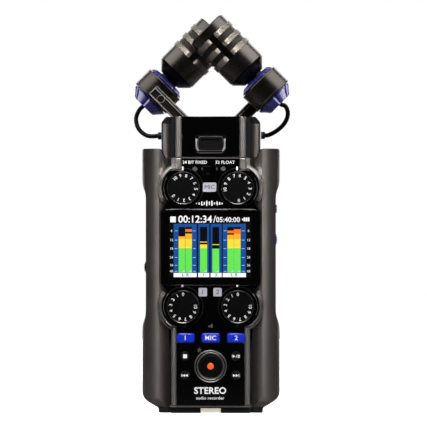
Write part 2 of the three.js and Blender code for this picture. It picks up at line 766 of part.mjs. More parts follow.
// ---------------------------------------------------------------- microphones
// The barrel: a capped tube with three ribs round it, on a solid tail.
function micBarrel() {
  const ribs = MIC.ribs.flatMap((z) => [
    [z === MIC.ribs[0] ? MIC.radius : MIC.neck, z],
    [MIC.rib, z],
    [MIC.rib, z - MIC.ribLength],
    [z === MIC.ribs[2] ? MIC.radius : MIC.neck, z - MIC.ribLength],
  ]);
  const profile = [
    [0, -16.9],
    [9.8, -16.9],
    [9.8, MIC.front],
    [MIC.radius - 0.4, MIC.front],
    [MIC.radius, MIC.front - 0.4],
    ...ribs,
    [MIC.radius, MIC.rear],
    [MIC.coneRadius, MIC.rear - MIC.radius + MIC.coneRadius],
    [MIC.stem, MIC.rear - MIC.radius + MIC.coneRadius],
    [MIC.stem, MIC.stemEnd],
    [0, MIC.stemEnd],
  ].reverse();
  return turnedZ(profile, 24);
}

function micArm() {
  const saddle = new THREE.BoxGeometry(10.5, 3, ARM.width);
  saddle.translate(ARM.x[1] - 5.25, ARM.y[0] - 1.3, ARM.z);
  const ringRoom = column(circle(0, 0, RING.outer + GAP), [RING.z[0] - 3, RING.z[1] + 3], 14);
  return joined(solid(armBar(0)), solid(saddle)).subtract(ringRoom);
}

// The cable from the tail of a microphone down to its gland in the side of the head.
function micCable(name) {
  const onAxis = (t) => [t * Math.SQRT1_2, -MIC.offset, MIC.crossing - t * Math.SQRT1_2];
  const route = [
    onAxis(CABLE.start),
    onAxis(CABLE.straight),
    ...CABLE.bend[name],
    ...GLAND.x.map((x) => [x + GAP, GLAND.y, GLAND.z]).reverse(),
  ].map((p) => new THREE.Vector3(...p));
  const section = new THREE.Shape().absarc(0, 0, CABLE.radius, 0, 2 * Math.PI);
  return solid(new THREE.ExtrudeGeometry(section, {
    steps: CABLE.steps,
    curveSegments: CABLE.sides / 2,
    bevelEnabled: false,
    extrudePath: new THREE.CatmullRomCurve3(route),
  }));
}

// One microphone with its arm, ring, elastic mount and cable. The left one is the right one
// turned half a turn about z, so the two heads cross one behind the other.
function micPieces(name, turned) {
  const half = new THREE.Group();
  half.rotation.z = turned ? Math.PI : 0;
  recorder.add(half);
  const tilted = new THREE.Group();
  tilted.applyMatrix4(diagonal);
  half.add(tilted);

  piece(`mic_barrel_${name}`, micBarrel(), "shell", tilted);
  const capsule = [[0, -16.6], [9.5, -16.6], [9.5, 2.3], [0, 2.3]];
  piece(`mic_capsule_${name}`, turnedZ(capsule, 20), "mesh", tilted);
  const ring = [
    [RING.inner, RING.z[0]],
    [RING.outer, RING.z[0]],
    [RING.outer, RING.z[1]],
    [RING.inner, RING.z[1]],
    [RING.inner, RING.z[0]],
  ];
  piece(`mount_ring_${name}`, turnedZ(ring, 24), "shell", tilted);
  const grommet = [
    [5.2, -46.5], [1.6, -46.5], [1.6, -49.4], [6.4, -49.4], [10.4, -45.0], [10.4, -44.4],
    [9.3, -44.4], [9.3, -34.5], [10.2, -34.5], [10.2, -33.4], [8.4, -31.0], [5.2, -31.0],
    [5.2, -46.5],
  ];
  piece(`shock_mount_${name}`, turnedZ(grommet, 20), "elastomer", tilted);
  piece(`mic_arm_${name}`, micArm(), "shell", tilted);
  piece(`mic_cable_${name}`, micCable(name), "rubber", half);
  const collar = circle(GLAND.y, GLAND.z, GLAND.radius);
  const bore = circle(GLAND.y, GLAND.z, CABLE.radius + GAP);
  const gland = beam(collar, GLAND.x, 6).subtract(beam(bore, outward(GLAND.x, 1), 5));
  piece(`cable_gland_${name}`, gland, "rubber", half);
}

frontPieces();
knobPieces();
buttonPieces();
sidePieces();
rearPieces();
jackPieces();
headPieces();
micPieces("right", false);
micPieces("left", true);

export default recorder;
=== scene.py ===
"""Looks for a handheld stereo recorder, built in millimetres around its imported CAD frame."""

import json
import math

import bmesh
import bpy
from mathutils import Matrix, Vector

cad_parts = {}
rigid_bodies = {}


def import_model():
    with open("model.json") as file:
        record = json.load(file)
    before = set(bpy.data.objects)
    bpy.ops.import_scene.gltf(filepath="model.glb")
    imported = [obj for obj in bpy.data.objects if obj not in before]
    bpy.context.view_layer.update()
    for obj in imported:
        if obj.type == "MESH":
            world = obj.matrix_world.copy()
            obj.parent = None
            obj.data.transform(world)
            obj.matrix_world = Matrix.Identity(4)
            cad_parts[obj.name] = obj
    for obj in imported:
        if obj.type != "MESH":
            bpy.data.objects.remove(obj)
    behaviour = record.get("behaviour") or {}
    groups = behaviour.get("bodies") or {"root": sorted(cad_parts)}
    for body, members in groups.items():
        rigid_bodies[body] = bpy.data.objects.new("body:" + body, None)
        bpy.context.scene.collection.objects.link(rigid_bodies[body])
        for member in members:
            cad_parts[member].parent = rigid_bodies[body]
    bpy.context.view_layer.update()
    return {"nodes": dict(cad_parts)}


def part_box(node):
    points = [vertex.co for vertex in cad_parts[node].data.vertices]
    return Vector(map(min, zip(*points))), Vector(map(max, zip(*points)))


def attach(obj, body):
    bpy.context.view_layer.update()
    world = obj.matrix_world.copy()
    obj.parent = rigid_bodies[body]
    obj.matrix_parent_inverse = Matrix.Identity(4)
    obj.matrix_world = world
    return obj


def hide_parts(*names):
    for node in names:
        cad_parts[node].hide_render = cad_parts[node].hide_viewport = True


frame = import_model()

MM = 0.001
TAU = 2 * math.pi


# ---- places
def turn(degrees, axis):
    return Matrix.Rotation(math.radians(degrees), 4, axis)


# In a face's own frame u runs to the right, v up, and w out towards whoever looks at it.
FRONT = turn(90, "X")
BACK = turn(180, "Z") @ FRONT
RIGHT = turn(90, "Z") @ FRONT
LEFT = turn(-90, "Z") @ FRONT
TOP = Matrix.Identity(4)


def at(face, x=0.0, y=0.0, z=0.0):
    return Matrix.Translation((x, y, z)) @ face


def box_of(node):
    """Lowest and highest corner of a CAD node, in millimetres."""
    low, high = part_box(node)
    return low / MM, high / MM


def middle(node):
    low, high = box_of(node)
    return (low + high) / 2


def front(node):
    """The front's place over the middle of a node."""
    m = middle(node)
    return at(FRONT, m.x, 0, m.z)


# ---- outlines in a face's u and v
def arc(u, v, radius, start, end, steps=12):
    """Points of a circular arc, angles in degrees, anticlockwise from u."""
    angles = [math.radians(start + (end - start) * i / steps) for i in range(steps + 1)]
    return [(u + radius * math.cos(a), v + radius * math.sin(a)) for a in angles]


def circle(u, v, radius, steps=48):
    return arc(u, v, radius, 0, 360, steps)[:-1]


def rounded(width, height, radius, u=0.0, v=0.0, steps=6):
    """A rectangle with round corners, centred on u and v."""
    a, b = width / 2 - radius, height / 2 - radius
    corners = [(a, b, 0), (-a, b, 90), (-a, -b, 180), (a, -b, 270)]
    return [p for x, y, s in corners for p in arc(u + x, v + y, radius, s, s + 90, steps)]


def box2(u0, u1, v0, v1):
    return [(u0, v0), (u1, v0), (u1, v1), (u0, v1)]


def flipped(outline, side):
    """An outline as it is for side 1, and turned over for side -1."""
    return [(side * u, v) for u, v in outline]


def mirrored(right):
    """A closed outline from its right half, listed from the bottom up."""
    return right + [(-point[0], *point[1:]) for point in reversed(right)]


def toothed(radius, depth, teeth):
    """A round outline with square teeth, for grips and knurls."""
    step = 360 / teeth
    top_end, foot_start, foot_end = 0.45 * step, 0.57 * step, 0.88 * step
    points = []
    for a in [i * step for i in range(teeth)]:
        points += arc(0, 0, radius, a, a + top_end, 1)
        points += arc(0, 0, radius - depth, a + foot_start, a + foot_end, 1)
    return points


# ---- solids
def prism(outline, low, high, place):
    """An outline in u and v, with thickness from low to high along w."""
    bm = bmesh.new()
    face = bm.faces.new([bm.verts.new((u, v, low)) for u, v in outline])
    raised = bmesh.ops.extrude_face_region(bm, geom=[face])["geom"]
    tops = [g for g in raised if isinstance(g, bmesh.types.BMVert)]
    bmesh.ops.translate(bm, verts=tops, vec=(0, 0, high - low))
    bmesh.ops.recalc_face_normals(bm, faces=bm.faces[:])
    bm.transform(place)
    return bm


def lathe(profile, place, segments=64, start=0.0, end=360.0, shape=None):
    """A profile of radius and w, turned about w. A closed profile makes a ring, and a stretch
    of less than a full turn gets end caps. shape(angle, index, radius, w) may move a point."""
    bm = bmesh.new()
    full = end - start >= 360
    uv = bm.loops.layers.uv.new("UVMap")
    rows = []
    for i in range(segments if full else segments + 1):
        a = start + (end - start) * i / segments
        row = []
        for j, (r, w) in enumerate(profile):
            if shape:
                r, w = shape(a, j, r, w)
            row.append(bm.verts.new((r * math.cos(math.radians(a)), r * math.sin(math.radians(a)), w)))
        rows.append(row)
    closed = profile[0] == profile[-1]
    lengths = [0.0]
    for (r0, w0), (r1, w1) in zip(profile, profile[1:]):
        lengths.append(lengths[-1] + math.hypot(r1 - r0, w1 - w0))
    for i in range(segments):
        first, second = rows[i], rows[(i + 1) % len(rows)]
        for j in range(len(profile) - 1):
            corners = [first[j], second[j], second[j + 1], first[j + 1]]
            face = bm.faces.new(corners)
            reach = max(profile[j][0], profile[j + 1][0])
            for loop, (di, dj) in zip(face.loops, ((0, 0), (1, 0), (1, 1), (0, 1))):
                around = math.radians((end - start) / segments) * (i + di) * reach
                loop[uv].uv = (around, lengths[j + dj])
    if not full:
        for row in (rows[0], rows[-1]):
            bm.faces.new(row[:-1] if closed else row)
    bmesh.ops.remove_doubles(bm, verts=bm.verts[:], dist=1e-5)
    bmesh.ops.dissolve_degenerate(bm, edges=bm.edges[:], dist=1e-5)
    bmesh.ops.recalc_face_normals(bm, faces=bm.faces[:])
    bm.transform(place)
    return bm


def swept(points, radius_at, sides):
    """A closed tube along points, whose radius may change along the way."""
    bm = bmesh.new()
    points = [Vector(p) for p in points]
    tangent = (points[1] - points[0]).normalized()
    normal = tangent.orthogonal().normalized()
    rings = []
    for i, p in enumerate(points):
        ahead = points[min(i + 1, len(points) - 1)] - points[max(i - 1, 0)]
        ahead.normalize()
        normal = (normal - ahead * normal.dot(ahead)).normalized()
        across = ahead.cross(normal)
        r = radius_at(i)
        ring = [p + r * (math.cos(TAU * k / sides) * normal + math.sin(TAU * k / sides) * across)
                for k in range(sides)]
        rings.append([bm.verts.new(q) for q in ring])
    for a, b in zip(rings, rings[1:]):
        for k in range(sides):
            bm.faces.new([a[k], a[(k + 1) % sides], b[(k + 1) % sides], b[k]])
    bm.faces.new(list(reversed(rings[0])))
    bm.faces.new(rings[-1])
    bmesh.ops.recalc_face_normals(bm, faces=bm.faces[:])
    return bm


def smooth_path(points, per_span):
    """A Catmull-Rom curve through points."""
    pts = [Vector(p) for p in points]
    pts = [2 * pts[0] - pts[1]] + pts + [2 * pts[-1] - pts[-2]]
    made = []
    for a, b, c, d in zip(pts, pts[1:], pts[2:], pts[3:]):
        for i in range(per_span):
            t = i / per_span
            made.append(0.5 * (2 * b + (c - a) * t + (2 * a - 5 * b + 4 * c - d) * t * t
                               + (3 * b - a - 3 * c + d) * t ** 3))
    return made + [pts[-2]]


def together(*parts):
    """Several solids in one mesh, left as separate closed shells."""
    bm = bmesh.new()
    for part in parts:
        mesh = bpy.data.meshes.new("part")
        part.to_mesh(mesh)
        part.free()
        bm.from_mesh(mesh)
        bpy.data.meshes.remove(mesh)
    return bm


def lettering(words, size, place, depth, spread, heavy):
    """Raised lettering, centred on its place and facing along w."""
    curve = bpy.data.curves.new("words", "FONT")
    curve.body = words
    curve.size = size
    curve.align_x = "CENTER"
    curve.align_y = "CENTER"
    curve.extrude = depth / 2
    curve.offset = heavy
    curve.space_character = 1 + spread
    curve.resolution_u = 3
    holder = bpy.data.objects.new("words", curve)
    bpy.context.scene.collection.objects.link(holder)
    evaluated = holder.evaluated_get(bpy.context.evaluated_depsgraph_get())
    mesh = bpy.data.meshes.new_from_object(evaluated)
    bm = bmesh.new()
    bm.from_mesh(mesh)
    bmesh.ops.remove_doubles(bm, verts=bm.verts[:], dist=1e-4)
    bpy.data.objects.remove(holder)
    bpy.data.curves.remove(curve)
    bpy.data.meshes.remove(mesh)
    bm.transform(place)
    return bm


# ---- from solids to pieces
def as_object(name, bm):
    mesh = bpy.data.meshes.new(name)
    bm.to_mesh(mesh)
    bm.free()
    made = bpy.data.objects.new(name, mesh)
    bpy.context.scene.collection.objects.link(made)
    return made


def carved(bm, cutters, operation="DIFFERENCE"):
    """bm with each cutter taken out of it, joined to it or kept in common with it."""
    base = as_object("base", bm)
    tools = [as_object("tool", cutter) for cutter in cutters]
    for tool in tools:
        modifier = base.modifiers.new("cut", "BOOLEAN")
        modifier.operation = operation
        modifier.object = tool
        modifier.solver = "EXACT"
    evaluated = base.evaluated_get(bpy.context.evaluated_depsgraph_get())
    mesh = bpy.data.meshes.new_from_object(evaluated)
    made = bmesh.new()
    made.from_mesh(mesh)
    for thing in [base] + tools:
        bpy.data.meshes.remove(thing.data)
    bpy.data.meshes.remove(mesh)
    return made


def where(test, shortest=0.0):
    """Picks the edges that are long enough and whose ends both pass a test of their place."""
    return lambda e: e.calc_length() >= shortest and all(test(v.co) for v in e.verts)


def facing(out, shortest=0.0):
    """Picks the edges of a front face that stands this far out."""
    return where(lambda p: p.y < 0.01 - out, shortest)


def simplified(bm):
    """bm without the diagonals that cross its flat faces."""
    bmesh.ops.dissolve_limit(bm, angle_limit=math.radians(0.6), verts=bm.verts[:], edges=bm.edges[:])
    return bm


def eased(bm, width, steps=2, degrees=40, keep=None):
    """bm with its sharp edges rounded, or only those that keep picks."""
    simplified(bm)
    limit = math.radians(degrees)
    sharp = [e for e in bm.edges if len(e.link_faces) == 2
             and e.calc_face_angle(0) > limit and (keep is None or keep(e))]
    bmesh.ops.bevel(bm, geom=sharp, offset=width, segments=steps, profile=0.5, affect="EDGES",
                    clamp_overlap=True)
    return bm


def replica(node):
    """A CAD node's own shape, as faces without diagonals, in millimetres."""
    bm = bmesh.new()
    bm.from_mesh(frame["nodes"][node].data)
    bm.transform(Matrix.Scale(1 / MM, 4))
    bmesh.ops.remove_doubles(bm, verts=bm.verts[:], dist=1e-3)
    return simplified(bm)


SMOOTH_BELOW = 38  # degrees between faces that shade as one


def piece(name, bm, body, look, replaces=()):
    """One finished piece that rides on a body."""
    if not bm.faces:
        raise ValueError(name + " has no faces")
    bm.transform(Matrix.Scale(MM, 4))
    made = as_object(name, bm)
    for face in made.data.polygons:
        face.use_smooth = True
    made.data.set_sharp_from_angle(angle=math.radians(SMOOTH_BELOW))
    weighted = made.modifiers.new("even shading", "WEIGHTED_NORMAL")
    weighted.keep_sharp = True
    made.data.materials.append(LOOK[look])
    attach(made, body)
    if replaces:
        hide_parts(*replaces)
    return made


# ---- materials
class Look:
    """A node-based material: a Principled shader with grain, mottling and wear."""

    def __init__(self, name, color, roughness, metallic=0.0, **values):
        self.material = bpy.data.materials.new(name)
        self.material.use_nodes = True
        self.tree = self.material.node_tree
        self.shader = self.tree.nodes["Principled BSDF"]
        self.color = (*color, 1)
        self.rough = roughness
        self.height = None
        self.shader.inputs["Metallic"].default_value = metallic
        self.shader.inputs["Base Color"].default_value = self.color
        self.shader.inputs["Roughness"].default_value = roughness
        for socket, value in values.items():
            self.shader.inputs[socket.replace("_", " ")].default_value = value

    def node(self, kind, inputs=(), **settings):
        made = self.tree.nodes.new("ShaderNode" + kind)
        for key, value in settings.items():
            setattr(made, key, value)
        for socket, value in dict(inputs).items():
            self.feed(made.inputs[socket], value)
        return made

    def feed(self, socket, value):
        if isinstance(value, bpy.types.NodeSocket):
            self.tree.links.new(value, socket)
        else:
            socket.default_value = value

    def math(self, operation, *values):
        made = self.node("Math", operation=operation)
        for socket, value in zip(made.inputs, values):
            self.feed(socket, value)
        return made.outputs[0]

    def spread(self, value, start, end, low, high):
        """A value that runs from start to end, made to run from low to high."""
        return self.node("MapRange", {"Value": value, "From Min": start, "From Max": end,
                                      "To Min": low, "To Max": high}).outputs[0]

    def mix(self, factor, a, b, blend="MIX"):
        return self.node("Mix", {"Factor": factor, "A": a, "B": b}, data_type="RGBA",
                         blend_type=blend).outputs["Result"]

    def noise(self, scale, detail, stretch=(1, 1, 1)):
        """Noise whose grain is given in millimetres."""
        mapped = self.node("Mapping", {"Vector": self.node("TexCoord").outputs["Object"],
                                       "Scale": stretch})
        return self.node("TexNoise", {"Vector": mapped.outputs[0], "Scale": 1 / (scale * MM),
                                      "Detail": detail}).outputs["Fac"]

    def wander(self, scale, detail, low, high):
        return self.spread(self.noise(scale, detail), 0.3, 0.7, low, high)

    def mottled(self, scale, amount):
        """Colour that wanders a little lighter and darker."""
        level = self.wander(scale, 3.0, 1 - amount, 1 + amount)
        self.tint = self.mix(1.0, self.color, level, "MULTIPLY")
        self.feed(self.shader.inputs["Base Color"], self.tint)
        return self

    def patchy(self, scale, amount):
        """Roughness that wanders."""
        level = self.wander(scale, 2.0, self.rough - amount, self.rough + amount)
        self.feed(self.shader.inputs["Roughness"], level)
        return self

    def grained(self, scale, strength, depth, stretch=(1, 1, 1)):
        """A fine relief, its depth in millimetres."""
        return self.relief(self.noise(scale, 2.0, stretch), strength, depth)

    def relief(self, height, strength, depth):
        bump = self.node("Bump", {"Height": height, "Strength": strength, "Distance": depth * MM})
        if self.height:
            self.feed(bump.inputs["Normal"], self.height)
        self.height = bump.outputs[0]
        self.feed(self.shader.inputs["Normal"], self.height)
        return self

    def worn(self, color, amount):
        """Lighter where edges stand proud."""
        edge = self.spread(self.node("NewGeometry").outputs["Pointiness"], 0.53, 0.6, 0.0, amount)
        self.feed(self.shader.inputs["Base Color"], self.mix(edge, self.tint, (*color, 1)))
        return self

    def woven(self, pitch, dark, strength, depth):
        """A fine wire mesh, on the UV map in millimetres: bright wires over dark holes."""
        parts = self.node("SeparateXYZ", {"Vector": self.node("TexCoord").outputs["UV"]}).outputs
        waves = [self.math("ABSOLUTE", self.math("SINE", self.math("MULTIPLY", parts[i], math.pi / pitch)))
                 for i in (0, 1)]
        wire = self.spread(self.math("MULTIPLY", *waves), 0.25, 0.6, 1.0, 0.0)
        self.feed(self.shader.inputs["Base Color"], self.mix(wire, (*dark, 1), self.color))
        return self.relief(wire, strength, depth)


def uneven(name, color, roughness, metallic, mottle, patch, grain=None, wear=None, **values):
    """A material that is a little mottled and patchy and, where these are given, grained and worn."""
    look = Look(name, color, roughness, metallic, **values).mottled(*mottle).patchy(*patch)
    if grain:
        look.grained(*grain)
    if wear:
        look.worn(*wear)
    return look.material


def meshed(name, color, roughness, metallic, weave, patch):
    return Look(name, color, roughness, metallic).woven(*weave).patchy(*patch).material


def lit(name, color, base):
    """A surface that glows evenly, under a glossy face, with a faint pixel grain."""
    look = Look(name, base, 0.25, Coat_Weight=0.4, Coat_Roughness=0.05, Emission_Strength=1.0)
    look.mottled(0.6, 0.05)
    glow = look.mix(1.0, (*color, 1), look.wander(0.4, 1.0, 0.94, 1.06), "MULTIPLY")
    look.feed(look.shader.inputs["Emission Color"], glow)
    return look.material


# For each: name, colour, roughness, metallic, and how it is mottled, patchy, grained and worn.
LOOK = {
    "paint": uneven("satin_paint", (0.185, 0.166, 0.156), 0.46, 0.75, (14, 0.05), (9, 0.03),
                    (0.35, 0.12, 0.012)),
    "trim": uneven("polished_trim", (0.28, 0.265, 0.253), 0.4, 0.8, (10, 0.05), (5, 0.04),
                   (0.25, 0.08, 0.008), ((0.5, 0.48, 0.46), 0.35)),
    "bright": uneven("bright_trim", (0.62, 0.595, 0.57), 0.34, 0.9, (10, 0.05), (5, 0.04),
                     (0.25, 0.06, 0.008), ((0.8, 0.78, 0.76), 0.3)),
    "metal": uneven("gunmetal", (0.15, 0.133, 0.121), 0.28, 1.0, (8, 0.07), (4, 0.02),
                    (0.2, 0.03, 0.004), ((0.24, 0.22, 0.205), 0.4)),
    "dark": uneven("dark_metal", (0.022, 0.02, 0.018), 0.3, 0.9, (8, 0.07), (4, 0.03),
                   (0.2, 0.08, 0.008), ((0.09, 0.08, 0.075), 0.4)),
    "gloss": uneven("black_gloss", (0.0006, 0.0006, 0.0007), 0.1, 0.0, (20, 0.1), (12, 0.02),
                    (6, 0.05, 0.02), Specular_IOR_Level=0.25),
    "matte": uneven("matte_black", (0.002, 0.002, 0.0022), 0.5, 0.0, (5, 0.1), (3, 0.05),
                    (0.25, 0.35, 0.03), ((0.02, 0.02, 0.022), 0.4), Specular_IOR_Level=0.04),
    "plastic": uneven("black_plastic", (0.003, 0.003, 0.0033), 0.36, 0.0, (6, 0.1), (4, 0.05),
                      (0.4, 0.3, 0.03), ((0.03, 0.03, 0.032), 0.3), Specular_IOR_Level=0.2),
    "glass": uneven("display_glass", (0.0006, 0.0006, 0.0008), 0.04, 0.0, (30, 0.1), (20, 0.01),
                    Specular_IOR_Level=0.4),
    # The blue keys and the menu wheel glow faintly: a painted glow, for they hold no lamp.
    "blue": uneven("blue_keys", (0.004, 0.02, 0.26), 0.3, 0.0, (2.5, 0.08), (2, 0.04),
                   (0.3, 0.12, 0.02), Coat_Weight=0.2, Coat_Roughness=0.15,
                   Emission_Color=(0.002, 0.012, 0.6, 1), Emission_Strength=0.38),
    "rubber": uneven("blue_elastomer", (0.05, 0.036, 0.4), 0.3, 0.0, (2.5, 0.12), (2, 0.06),
                     (0.5, 0.3, 0.04), Coat_Weight=0.9, Coat_Roughness=0.16),
    "cable": uneven("cable_jacket", (0.003, 0.003, 0.0033), 0.36, 0.0, (2, 0.12), (1.5, 0.05),
                    (0.2, 0.3, 0.03), Specular_IOR_Level=0.3),
    "steel": uneven("steel", (0.5, 0.48, 0.46), 0.26, 1.0, (3, 0.06), (2, 0.06),
                    (0.15, 0.2, 0.02, (1, 1, 6))),
    # The strap pin's glow is painted light: it lifts the pin out of the shade of its notch.
    "pin": uneven("bright_pin", (0.95, 0.9, 0.82), 0.3, 0.25, (3, 0.05), (2, 0.05),
                  (0.15, 0.15, 0.02, (6, 1, 1)), Emission_Color=(1, 0.94, 0.84, 1),
                  Emission_Strength=0.5),
    "brass": uneven("brass", (0.72, 0.52, 0.25), 0.28, 1.0, (3, 0.08), (2, 0.06), (0.2, 0.2, 0.02)),
    "band": meshed("bright_band", (0.3, 0.265, 0.23), 0.36, 0.7,
                   (0.62, (0.2, 0.175, 0.15), 0.5, 0.08), (4, 0.04)),
    "mesh": meshed("wire_mesh", (0.16, 0.13, 0.105), 0.38, 0.6,
                   (0.75, (0.02, 0.016, 0.013), 0.9, 0.3), (4, 0.05)),
    # The white print's faint glow is painted light, which keeps it bright whatever lights it.
    "white": uneven("white_print", (0.5, 0.5, 0.5), 0.5, 0.0, (1.5, 0.04), (1, 0.05),
                    (0.1, 0.1, 0.01), Emission_Color=(1, 1, 1, 1), Emission_Strength=0.32),
    "grey": uneven("grey_print", (0.05, 0.05, 0.05), 0.5, 0.0, (1.5, 0.06), (1, 0.05),
                   (0.1, 0.1, 0.01)),
    "badge": uneven("badge_print", (0.36, 0.355, 0.4), 0.45, 0.0, (1.5, 0.05), (1, 0.05),
                    (0.1, 0.1, 0.01)),
    "board": uneven("solder_mask", (0.012, 0.09, 0.045), 0.4, 0.0, (6, 0.2), (3, 0.08),
                    (0.8, 0.4, 0.05)),
    "sleeve": uneven("cell_sleeve", (0.05, 0.06, 0.07), 0.35, 0.3, (8, 0.1), (4, 0.05),
                     (0.3, 0.15, 0.02)),
    "orange": lit("orange_lamp", (0.84, 0.105, 0.008), (0.3, 0.04, 0.003)),
}
SCREEN = {"field": (0.01, 0.075, 0.3), "black": (0.001, 0.001, 0.002), "green": (0.14, 0.78, 0.09),
          "yellow": (0.98, 0.72, 0.05), "amber": (0.97, 0.44, 0.02), "orange": (0.97, 0.2, 0.01),
          "paper": (0.93, 0.95, 0.97), "rule": (0.4, 0.7, 0.85)}
for shade, color in SCREEN.items():
    LOOK["lcd_" + shade] = lit("lcd_" + shade, color, tuple(0.05 * c for c in color))


# ---- camera, light and floor
def camera():
    """At the height of the display, a touch to the right of straight on."""
    reach, azimuth, width = 1550.0, math.radians(1.0), 215.6
    aim = Vector((1.1, 0, 99.6))
    data = bpy.data.cameras.new("camera")
    data.sensor_width = 36
    data.lens = data.sensor_width * reach / width
    data.clip_start = 0.05
    made = bpy.data.objects.new("camera", data)
    made.location = (aim + reach * Vector((math.sin(azimuth), -math.cos(azimuth), 0))) * MM
    made.rotation_euler = (math.pi / 2, 0, azimuth)
    bpy.context.scene.collection.objects.link(made)
    bpy.context.scene.camera = made


# The painted shells get a front light that is too low to reach their tops.
PAINTED = ("front_case_shell", "rear_case_shell", "head_shell")
# The microphones are lit from the sides alone.
FLAGGED = ("mic_body", "mic_spines", "mic_tail", "mic_grille", "mic_insert", "mic_ring",
           "mic_elastic", "mic_lead")


def softbox(name, azimuth, height, distance, width, tall, power, spread=180, aim_at=0.12):
    """A rectangular light, distance metres from the recorder, aimed at aim_at metres up it."""
    data = bpy.data.lights.new(name, "AREA")
    data.shape = "RECTANGLE"
    data.size, data.size_y = width, tall
    data.energy = power
    data.spread = math.radians(spread)
    made = bpy.data.objects.new(name, data)
    a = math.radians(azimuth)
    made.location = (distance * math.sin(a), -distance * math.cos(a), height)
    aim = Vector((0, 0, aim_at)) - made.location
    made.rotation_euler = aim.to_track_quat("-Z", "Y").to_euler()
    made.visible_camera = False
    bpy.context.scene.collection.objects.link(made)
    return made


def only(light, pieces, state):
    """Lets a light reach these pieces alone (INCLUDE) or everything but them (EXCLUDE), as flags do."""
    group = bpy.data.collections.new(light.name + "_reach")
    for item in pieces:
        group.objects.link(item)
    for item in group.collection_objects:
        item.light_linking.link_state = state
    light.light_linking.receiver_collection = group


def seen_directly(tree, direct, otherwise):
    """A strength that is one value where the eye meets it and another where it only lights."""
    path = tree.nodes.new("ShaderNodeLightPath")
    level = tree.nodes.new("ShaderNodeMapRange")
    tree.links.new(path.outputs["Is Camera Ray"], level.inputs["Value"])
    level.inputs["To Min"].default_value = otherwise
    level.inputs["To Max"].default_value = direct
    return level.outputs[0]


def studio():
    """Soft boxes round the recorder, a pale world and a pale floor."""
    shaded = [o for o in bpy.data.objects if o.name.startswith(FLAGGED)]
    world = bpy.data.worlds.new("studio")
    world.use_nodes = True
    sky = world.node_tree.nodes["Background"]
    sky.inputs["Color"].default_value = (1, 1, 1, 1)
    world.node_tree.links.new(seen_directly(world.node_tree, 1.0, 0.02), sky.inputs["Strength"])
    bpy.context.scene.world = world
    bpy.context.scene.view_settings.view_transform = "Standard"

    painted = [o for o in bpy.data.objects if o.name in PAINTED]
    only(softbox("front_softbox", 1, 0.5, 0.4, 0.3, 0.2, 0.55, 42, 0.13), shaded + painted, "EXCLUDE")
    only(softbox("level_softbox", 1, 0.11, 0.45, 0.75, 0.03, 0.78, 150, 0.11), painted, "INCLUDE")
    softbox("left_softbox", -86, 0.82, 0.64, 0.9, 0.9, 1.0)
    only(softbox("left_core_softbox", -86, 0.78, 0.6, 0.4, 0.4, 0.3), shaded, "EXCLUDE")
    softbox("right_softbox", 84, 0.76, 0.64, 0.9, 0.9, 1.3)
    only(softbox("right_core_softbox", 84, 0.72, 0.6, 0.4, 0.4, 0.4), shaded, "EXCLUDE")
    only(softbox("left_rim_softbox", -74, 0.8, 0.62, 1.1, 1.1, 3.0), shaded, "INCLUDE")
    only(softbox("right_rim_softbox", 74, 0.78, 0.62, 1.1, 1.1, 4.2), shaded, "INCLUDE")
    elastic = [o for o in shaded if o.name.startswith("mic_elastic")]
    only(softbox("left_elastic_softbox", -104, 0.12, 0.4, 0.3, 0.26, 0.8, 180, 0.17), elastic, "INCLUDE")
    only(softbox("right_elastic_softbox", 104, 0.12, 0.4, 0.3, 0.26, 1.1, 180, 0.17), elastic, "INCLUDE")
    softbox("top_softbox", 0, 0.95, 0.0, 0.6, 0.4, 0.5)
    softbox("back_left_softbox", -164, 0.3, 0.8, 0.5, 0.8, 2.6)
    softbox("back_right_softbox", 164, 0.3, 0.8, 0.5, 0.8, 2.6)

    bpy.ops.mesh.primitive_plane_add(size=3.0, location=(0, 0, -0.0002))
    floor = bpy.context.object
    floor.name = "floor"
    look = bpy.data.materials.new("pale_floor")
    look.use_nodes = True
    shader = look.node_tree.nodes["Principled BSDF"]
    shader.inputs["Roughness"].default_value = 0.9
    shader.inputs["Emission Color"].default_value = (1, 1, 1, 1)
    links = look.node_tree.links
    links.new(seen_directly(look.node_tree, 0.85, 0.12), shader.inputs["Base Color"])
    links.new(seen_directly(look.node_tree, 1.0, 0.0), shader.inputs["Emission Strength"])
    floor.data.materials.append(look)


camera()


# ---- driving sizes, in millimetres
HALF, WAIST, FOOT = 34.5, 32.5, 26.0
TOP_OF_CASE, DOCK = 132.0, 127.3
SEAM, SEAM_GAP = 2.0, 0.15  # where the halves meet, and half of the gap between them
DECK, CREST, REAR = 18.2, 18.8, 22.0
FLOOR, CEILING, INNER = 3.5, 124.3, 30.3
INNER_FRONT = 16.2
SOLE = 2.9  # how high the black sole of the case reaches
JACK_Y = 3  # the middle of the input sockets
PHONES = at(LEFT, 0, -5.7, 92)
SCREW_X, SCREW_Z = 26, 29.5  # the case screws; the tripod bush is level with them
SHORTEST = 0.12  # a shorter edge is left sharp
FAR = 60  # past every side of the recorder
SIDES = {"left": -1, "right": 1}
PANEL_FRONT, BUTTON_FRONT, RAIL_FRONT = 20.5, 21.0, 20.6
TENON = (15.0, 4.5, 119.0)
KNOBS = {name: front("gain_knob_" + name) for name in ("mic_left", "mic_right", "input_1", "input_2")}
KNOB_FRONT = -box_of("gain_knob_mic_left")[0].y
# Each dial's setting at rest, out of ten, and how far one step turns it.
SETTINGS = {"mic_left": 8.49, "mic_right": 6.4, "input_1": 0.0, "input_2": 0.0}
STEP = 27.2
TRACKS = ("1", "mic", "2")
TRANSPORT = {"stop_button": "stop", "play_button": "play", "rewind_button": "rewind",
             "forward_button": "forward"}
JACKS = {label: middle("combo_jack_" + label) for label in ("1", "2")}
MIC_RIGHT = Matrix.Translation((0, -13.5, 189.3)) @ turn(-45, "Y")
MICS = {"right": MIC_RIGHT, "left": turn(180, "Z") @ MIC_RIGHT}


